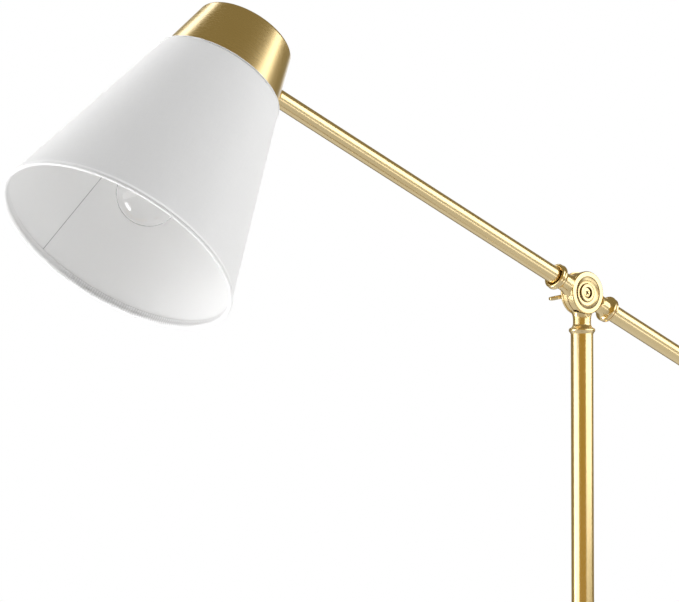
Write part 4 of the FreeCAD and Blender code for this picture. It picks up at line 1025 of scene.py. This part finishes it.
clear_selection()
bpy.ops.mesh.primitive_cube_add(size=1, location=(0, 0, HEAD_TOP))
cutter = named("cross_cutter")
on_head = {"center_override": (0, 0, HEAD_TOP)}
open_piece(cutter)
bpy.ops.mesh.select_all(action="SELECT")
bpy.ops.transform.resize(value=RECESS_SIZE, **on_head)
pick(cutter, "faces", lambda face, at: face.normal.z < -0.5)
bpy.ops.transform.resize(value=RECESS_TAPER, **on_head)
bpy.ops.mesh.select_all(action="SELECT")
bpy.ops.mesh.duplicate()
bpy.ops.transform.rotate(value=QUARTER, orient_axis="Z", **on_head)
bpy.ops.mesh.select_all(action="SELECT")
bpy.ops.transform.rotate(value=RECESS_TURN, orient_axis="Z", **on_head)
bpy.ops.object.mode_set(mode="OBJECT")
finish_with(screw, "BOOLEAN", object=cutter, operation="DIFFERENCE", solver="EXACT", use_self=True)
bpy.data.objects.remove(cutter)
print("screw head with its recess", len(screw.data.polygons), "faces")

# %% Thread and tip
THREAD_PITCH = 0.7 * MM

join_to(screw, threaded("screw_thread", SHANK, 0.3 * MM, THREAD_PITCH,
                        SCREW_TIP + 0.3 * MM, THREAD_START + THREAD_PITCH))
add_ring(screw, 2.3 * MM, SCREW_TIP, SCREW_TIP + 0.9 * MM, 2.75 * MM)
turn_and_move(screw, (QUARTER, 0, 0))
settle(screw, KNUCKLE, 0.0, cast_brass, "stand", "brass", "pivot_screw")

# %% [markdown]
# ## Wing nut
#
# A cast wing nut is a short tapered hub with two thin ears. The hub is built like a
# lathe would: a ring is drawn out, up, in and down again. Two columns of faces on
# each side are then drawn out in steps that rise and narrow, and a Subdivision
# Surface modifier gives the whole the soft edges of a casting.

# %% Hub
HOLE = 3.1 * MM
HUB = 6.4 * MM
HUB_HEIGHT = 8.0 * MM
# millimetres up and share of the radius
HUB_STEPS = ((1.6, 1.0), (2.0, 0.95), (2.0, 0.94), (2.0, 0.93), (0.4, 0.94))

clear_selection()
bpy.ops.mesh.primitive_circle_add(vertices=32, radius=HOLE, location=(0, 0, 0))
nut = named("cast_wing_nut")
open_piece(nut)
bpy.ops.mesh.select_all(action="SELECT")
extrude(scale=(HUB / HOLE, HUB / HOLE, 1))
for rise, share in HUB_STEPS:
    extrude((0, 0, rise * MM), (share, share, 1))
reach = max(math.hypot(at.x, at.y) for at in picked_points(nut))
extrude(scale=(HOLE / reach, HOLE / reach, 1))
extrude((0, 0, -HUB_HEIGHT))
bpy.ops.mesh.select_all(action="SELECT")
bpy.ops.mesh.remove_doubles(threshold=0.02 * MM)
bpy.ops.mesh.normals_make_consistent(inside=False)
print("hub tapers to", round(reach / MM, 2), "mm")

# %% Ears
EAR_HALF_WIDTH = 1.4 * MM
EAR_HEIGHTS = (1.6 * MM, 7.4 * MM)
NUT_SEAT = 8.7 * MM
NUT_TURN = math.radians(-15)
# millimetres out and up, then shares of the thickness and of the height
EAR_STEPS = ((2.4, 1.4, 1.45, 0.95), (4.0, 2.8, 1.15, 1.05), (4.0, 3.2, 1.0, 1.05),
             (2.9, 2.2, 1.0, 0.95), (2.0, 1.0, 0.85, 0.7))


def ear_root(side):
    """Test for the faces of the hub that an ear grows from."""
    return lambda face, at: (at.x * side > HOLE + 0.5 * MM and abs(at.y) < EAR_HALF_WIDTH
                             and EAR_HEIGHTS[0] < at.z < EAR_HEIGHTS[1]
                             and face.normal.x * side > 0.7)


for side in (1, -1):
    pick(nut, "faces", ear_root(side))
    for out, rise, thin, tall in EAR_STEPS:
        extrude((side * out * MM, 0, rise * MM))
        chosen = picked_points(nut)
        centre = sum(chosen, Vector()) / len(chosen)
        bpy.ops.transform.resize(value=(1, thin, tall), center_override=centre)
close_piece(nut)
finish_with(nut, "SUBSURF", levels=2, render_levels=2)
turn_and_move(nut, (-QUARTER, 0, 0), (0, NUT_SEAT, 0))
settle(nut, KNUCKLE, NUT_TURN, cast_brass, "wing_nut", "brass", "wing_nut")

# %% [markdown]
# ## Foam pad under the base
#
# The pad is a disc of black foam with a soft edge. A cylinder's two rims are bevelled,
# and the foam gives under the lamp's weight.

# %% Foam pad
PAD_RADIUS = 135.5 * MM
PAD_THICKNESS = 3 * MM
PAD_BEVEL = 0.9 * MM

clear_selection()
bpy.ops.mesh.primitive_cylinder_add(vertices=160, radius=PAD_RADIUS, depth=PAD_THICKNESS,
                                    location=(0, 0, PAD_THICKNESS / 2))
pad = named("foam_pad")
open_piece(pad)
pick(pad, "edges", lambda edge, at: abs(edge.verts[0].co.z - edge.verts[1].co.z) < 0.1 * MM)
bpy.ops.mesh.bevel(offset=PAD_BEVEL, segments=3)
close_piece(pad)
settle(pad, FLOOR, 0.0, felt, "stand", "pad", "base_pad")

# %% [markdown]
# ## Glass of the bulb
#
# The envelope and the stem are clear glass, and stay as the CAD has them. Thin blown
# glass hardly bends the light that goes through both its walls, and full refraction
# would draw a dark ring round it. So the bend is set close to none, and a clear coat
# gives the highlight that real glass has.

# %% Glass
GLASS_BEND = 1.015
GLASS_SHINE = 0.6
RIPPLE_SCALE = 90.0
RIPPLE_RELIEF = 0.05 * MM

clear = Finish("clear_glass")
ripple = clear.noise(clear.place(HEAD, HEAD_TURN), RIPPLE_SCALE, detail=1.0)
glass = clear.set(
    Base_Color=WHITE,
    Roughness=0.0,
    IOR=GLASS_BEND,
    Transmission_Weight=1.0,
    Coat_Weight=GLASS_SHINE,
    Coat_Roughness=0.0,
    Normal=clear.bump(ripple, RIPPLE_RELIEF))
print("glass with", len(clear.tree.nodes), "nodes")

# %% [markdown]
# ## Filament
#
# The filament is a coil so fine that it reads as a thick wire: a small ring climbs with
# the Screw modifier, and a Simple Deform modifier bends the straight coil into its
# arch. Two straight wires carry its ends from the stem.

# %% Filament coil
ARCH_RADIUS = 11.56 * MM
ARCH_ANGLE = math.radians(144.2)
ARCH_CROWN = -131.4 * MM
COIL_RADIUS = 0.42 * MM
COIL_PITCH = 0.42 * MM
COIL_STEPS = 12
WIRE = 0.11 * MM

arch_length = ARCH_RADIUS * ARCH_ANGLE
clear_selection()
bpy.ops.mesh.primitive_circle_add(vertices=6, radius=WIRE, rotation=(QUARTER, 0, 0),
                                  location=(COIL_RADIUS, 0, -arch_length / 2))
coil = named("filament_coil")
finish_with(coil, "SCREW", angle=FULL_TURN, screw_offset=COIL_PITCH,
            iterations=int(arch_length / COIL_PITCH), steps=COIL_STEPS, render_steps=COIL_STEPS)
cap_ends(coil)
turn_and_move(coil, (0, QUARTER, 0))
finish_with(coil, "SIMPLE_DEFORM", deform_method="BEND", angle=ARCH_ANGLE, deform_axis="Z")
turn_and_move(coil, (QUARTER, 0, 0), (0, 0, ARCH_CROWN))
print("wire coiled to", round(arch_length / MM, 1), "mm and bent into an arch")

# %% Filament supports
ARCH_SPREAD = 11.0 * MM
STEM_SPREAD = 3.1 * MM
STEM_MIDDLE = -96.4 * MM
SUPPORT = 0.3 * MM
SUPPORT_BEVEL = 0.12 * MM

arch_end = ARCH_CROWN + ARCH_RADIUS * (1 - math.cos(ARCH_ANGLE / 2))
for side in (-1, 1):
    top = Vector((side * STEM_SPREAD, 0, STEM_MIDDLE))
    low = Vector((side * ARCH_SPREAD, 0, arch_end))
    clear_selection()
    bpy.ops.mesh.primitive_cylinder_add(vertices=10, radius=SUPPORT, depth=(low - top).length,
                                        location=(low + top) / 2,
                                        rotation=(low - top).to_track_quat("Z", "Y").to_euler())
    join_to(coil, round_ends(named("support"), SUPPORT_BEVEL))
settle(coil, HEAD, HEAD_TURN, tungsten, "head", "filament", "bulb_filament")

# %% [markdown]
# ## Finishes for the CAD's own pieces
#
# Every other piece of metal, plastic and glass keeps its CAD shape and only takes a
# finish. The table says which. The nodes that fuller pieces replace take theirs too.

# %% Dress the CAD nodes
looks = {
    pole_brass: ["pole_lower", "pole_middle", "pole_upper"],
    turned_pole: ["lower_coupling", "upper_coupling", "pole_collar", "pole_foot_collar",
                  "base_cover"],
    arm_brass: ["arm_tube", "tail_tube"],
    turned_arm: ["arm_collar", "tail_collar", "arm_end_fitting", "tail_plug", "counterweight"],
    cap_brass: ["brass_cap", "cap_nut"],
    cast_brass: ["front_swivel", "rear_swivel", "wing_nut", "pivot_screw"],
    steel: ["base_washer", "base_nut", "base_pipe", "head_pipe", "head_pipe_nuts", "head_yoke",
            "pivot_bolt", "pivot_lock_nut", "shade_spider", "rim_wire", "socket_cap",
            "socket_shell", "socket_contact", "bulb_base"],
    iron: ["base_weight"],
    black: ["cord_bushing"],
    felt: ["base_pad"],
    fibre: ["friction_washer", "pivot_washers"],
    linen: ["shade_fabric"],
    lining_white: ["shade_lining"],
    tape: ["rim_binding"],
    phenolic: ["socket_body"],
    glass: ["bulb_glass", "bulb_stem"],
    tungsten: ["bulb_filament"],
}
dressed = 0
for material, names in looks.items():
    for name in names:
        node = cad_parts[name]
        for slot in node.material_slots:
            slot.material = material
        if not node.material_slots:
            node.data.materials.append(material)
        dressed += 1
print("CAD nodes with a finish:", dressed, "of", len(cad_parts))

# %% [markdown]
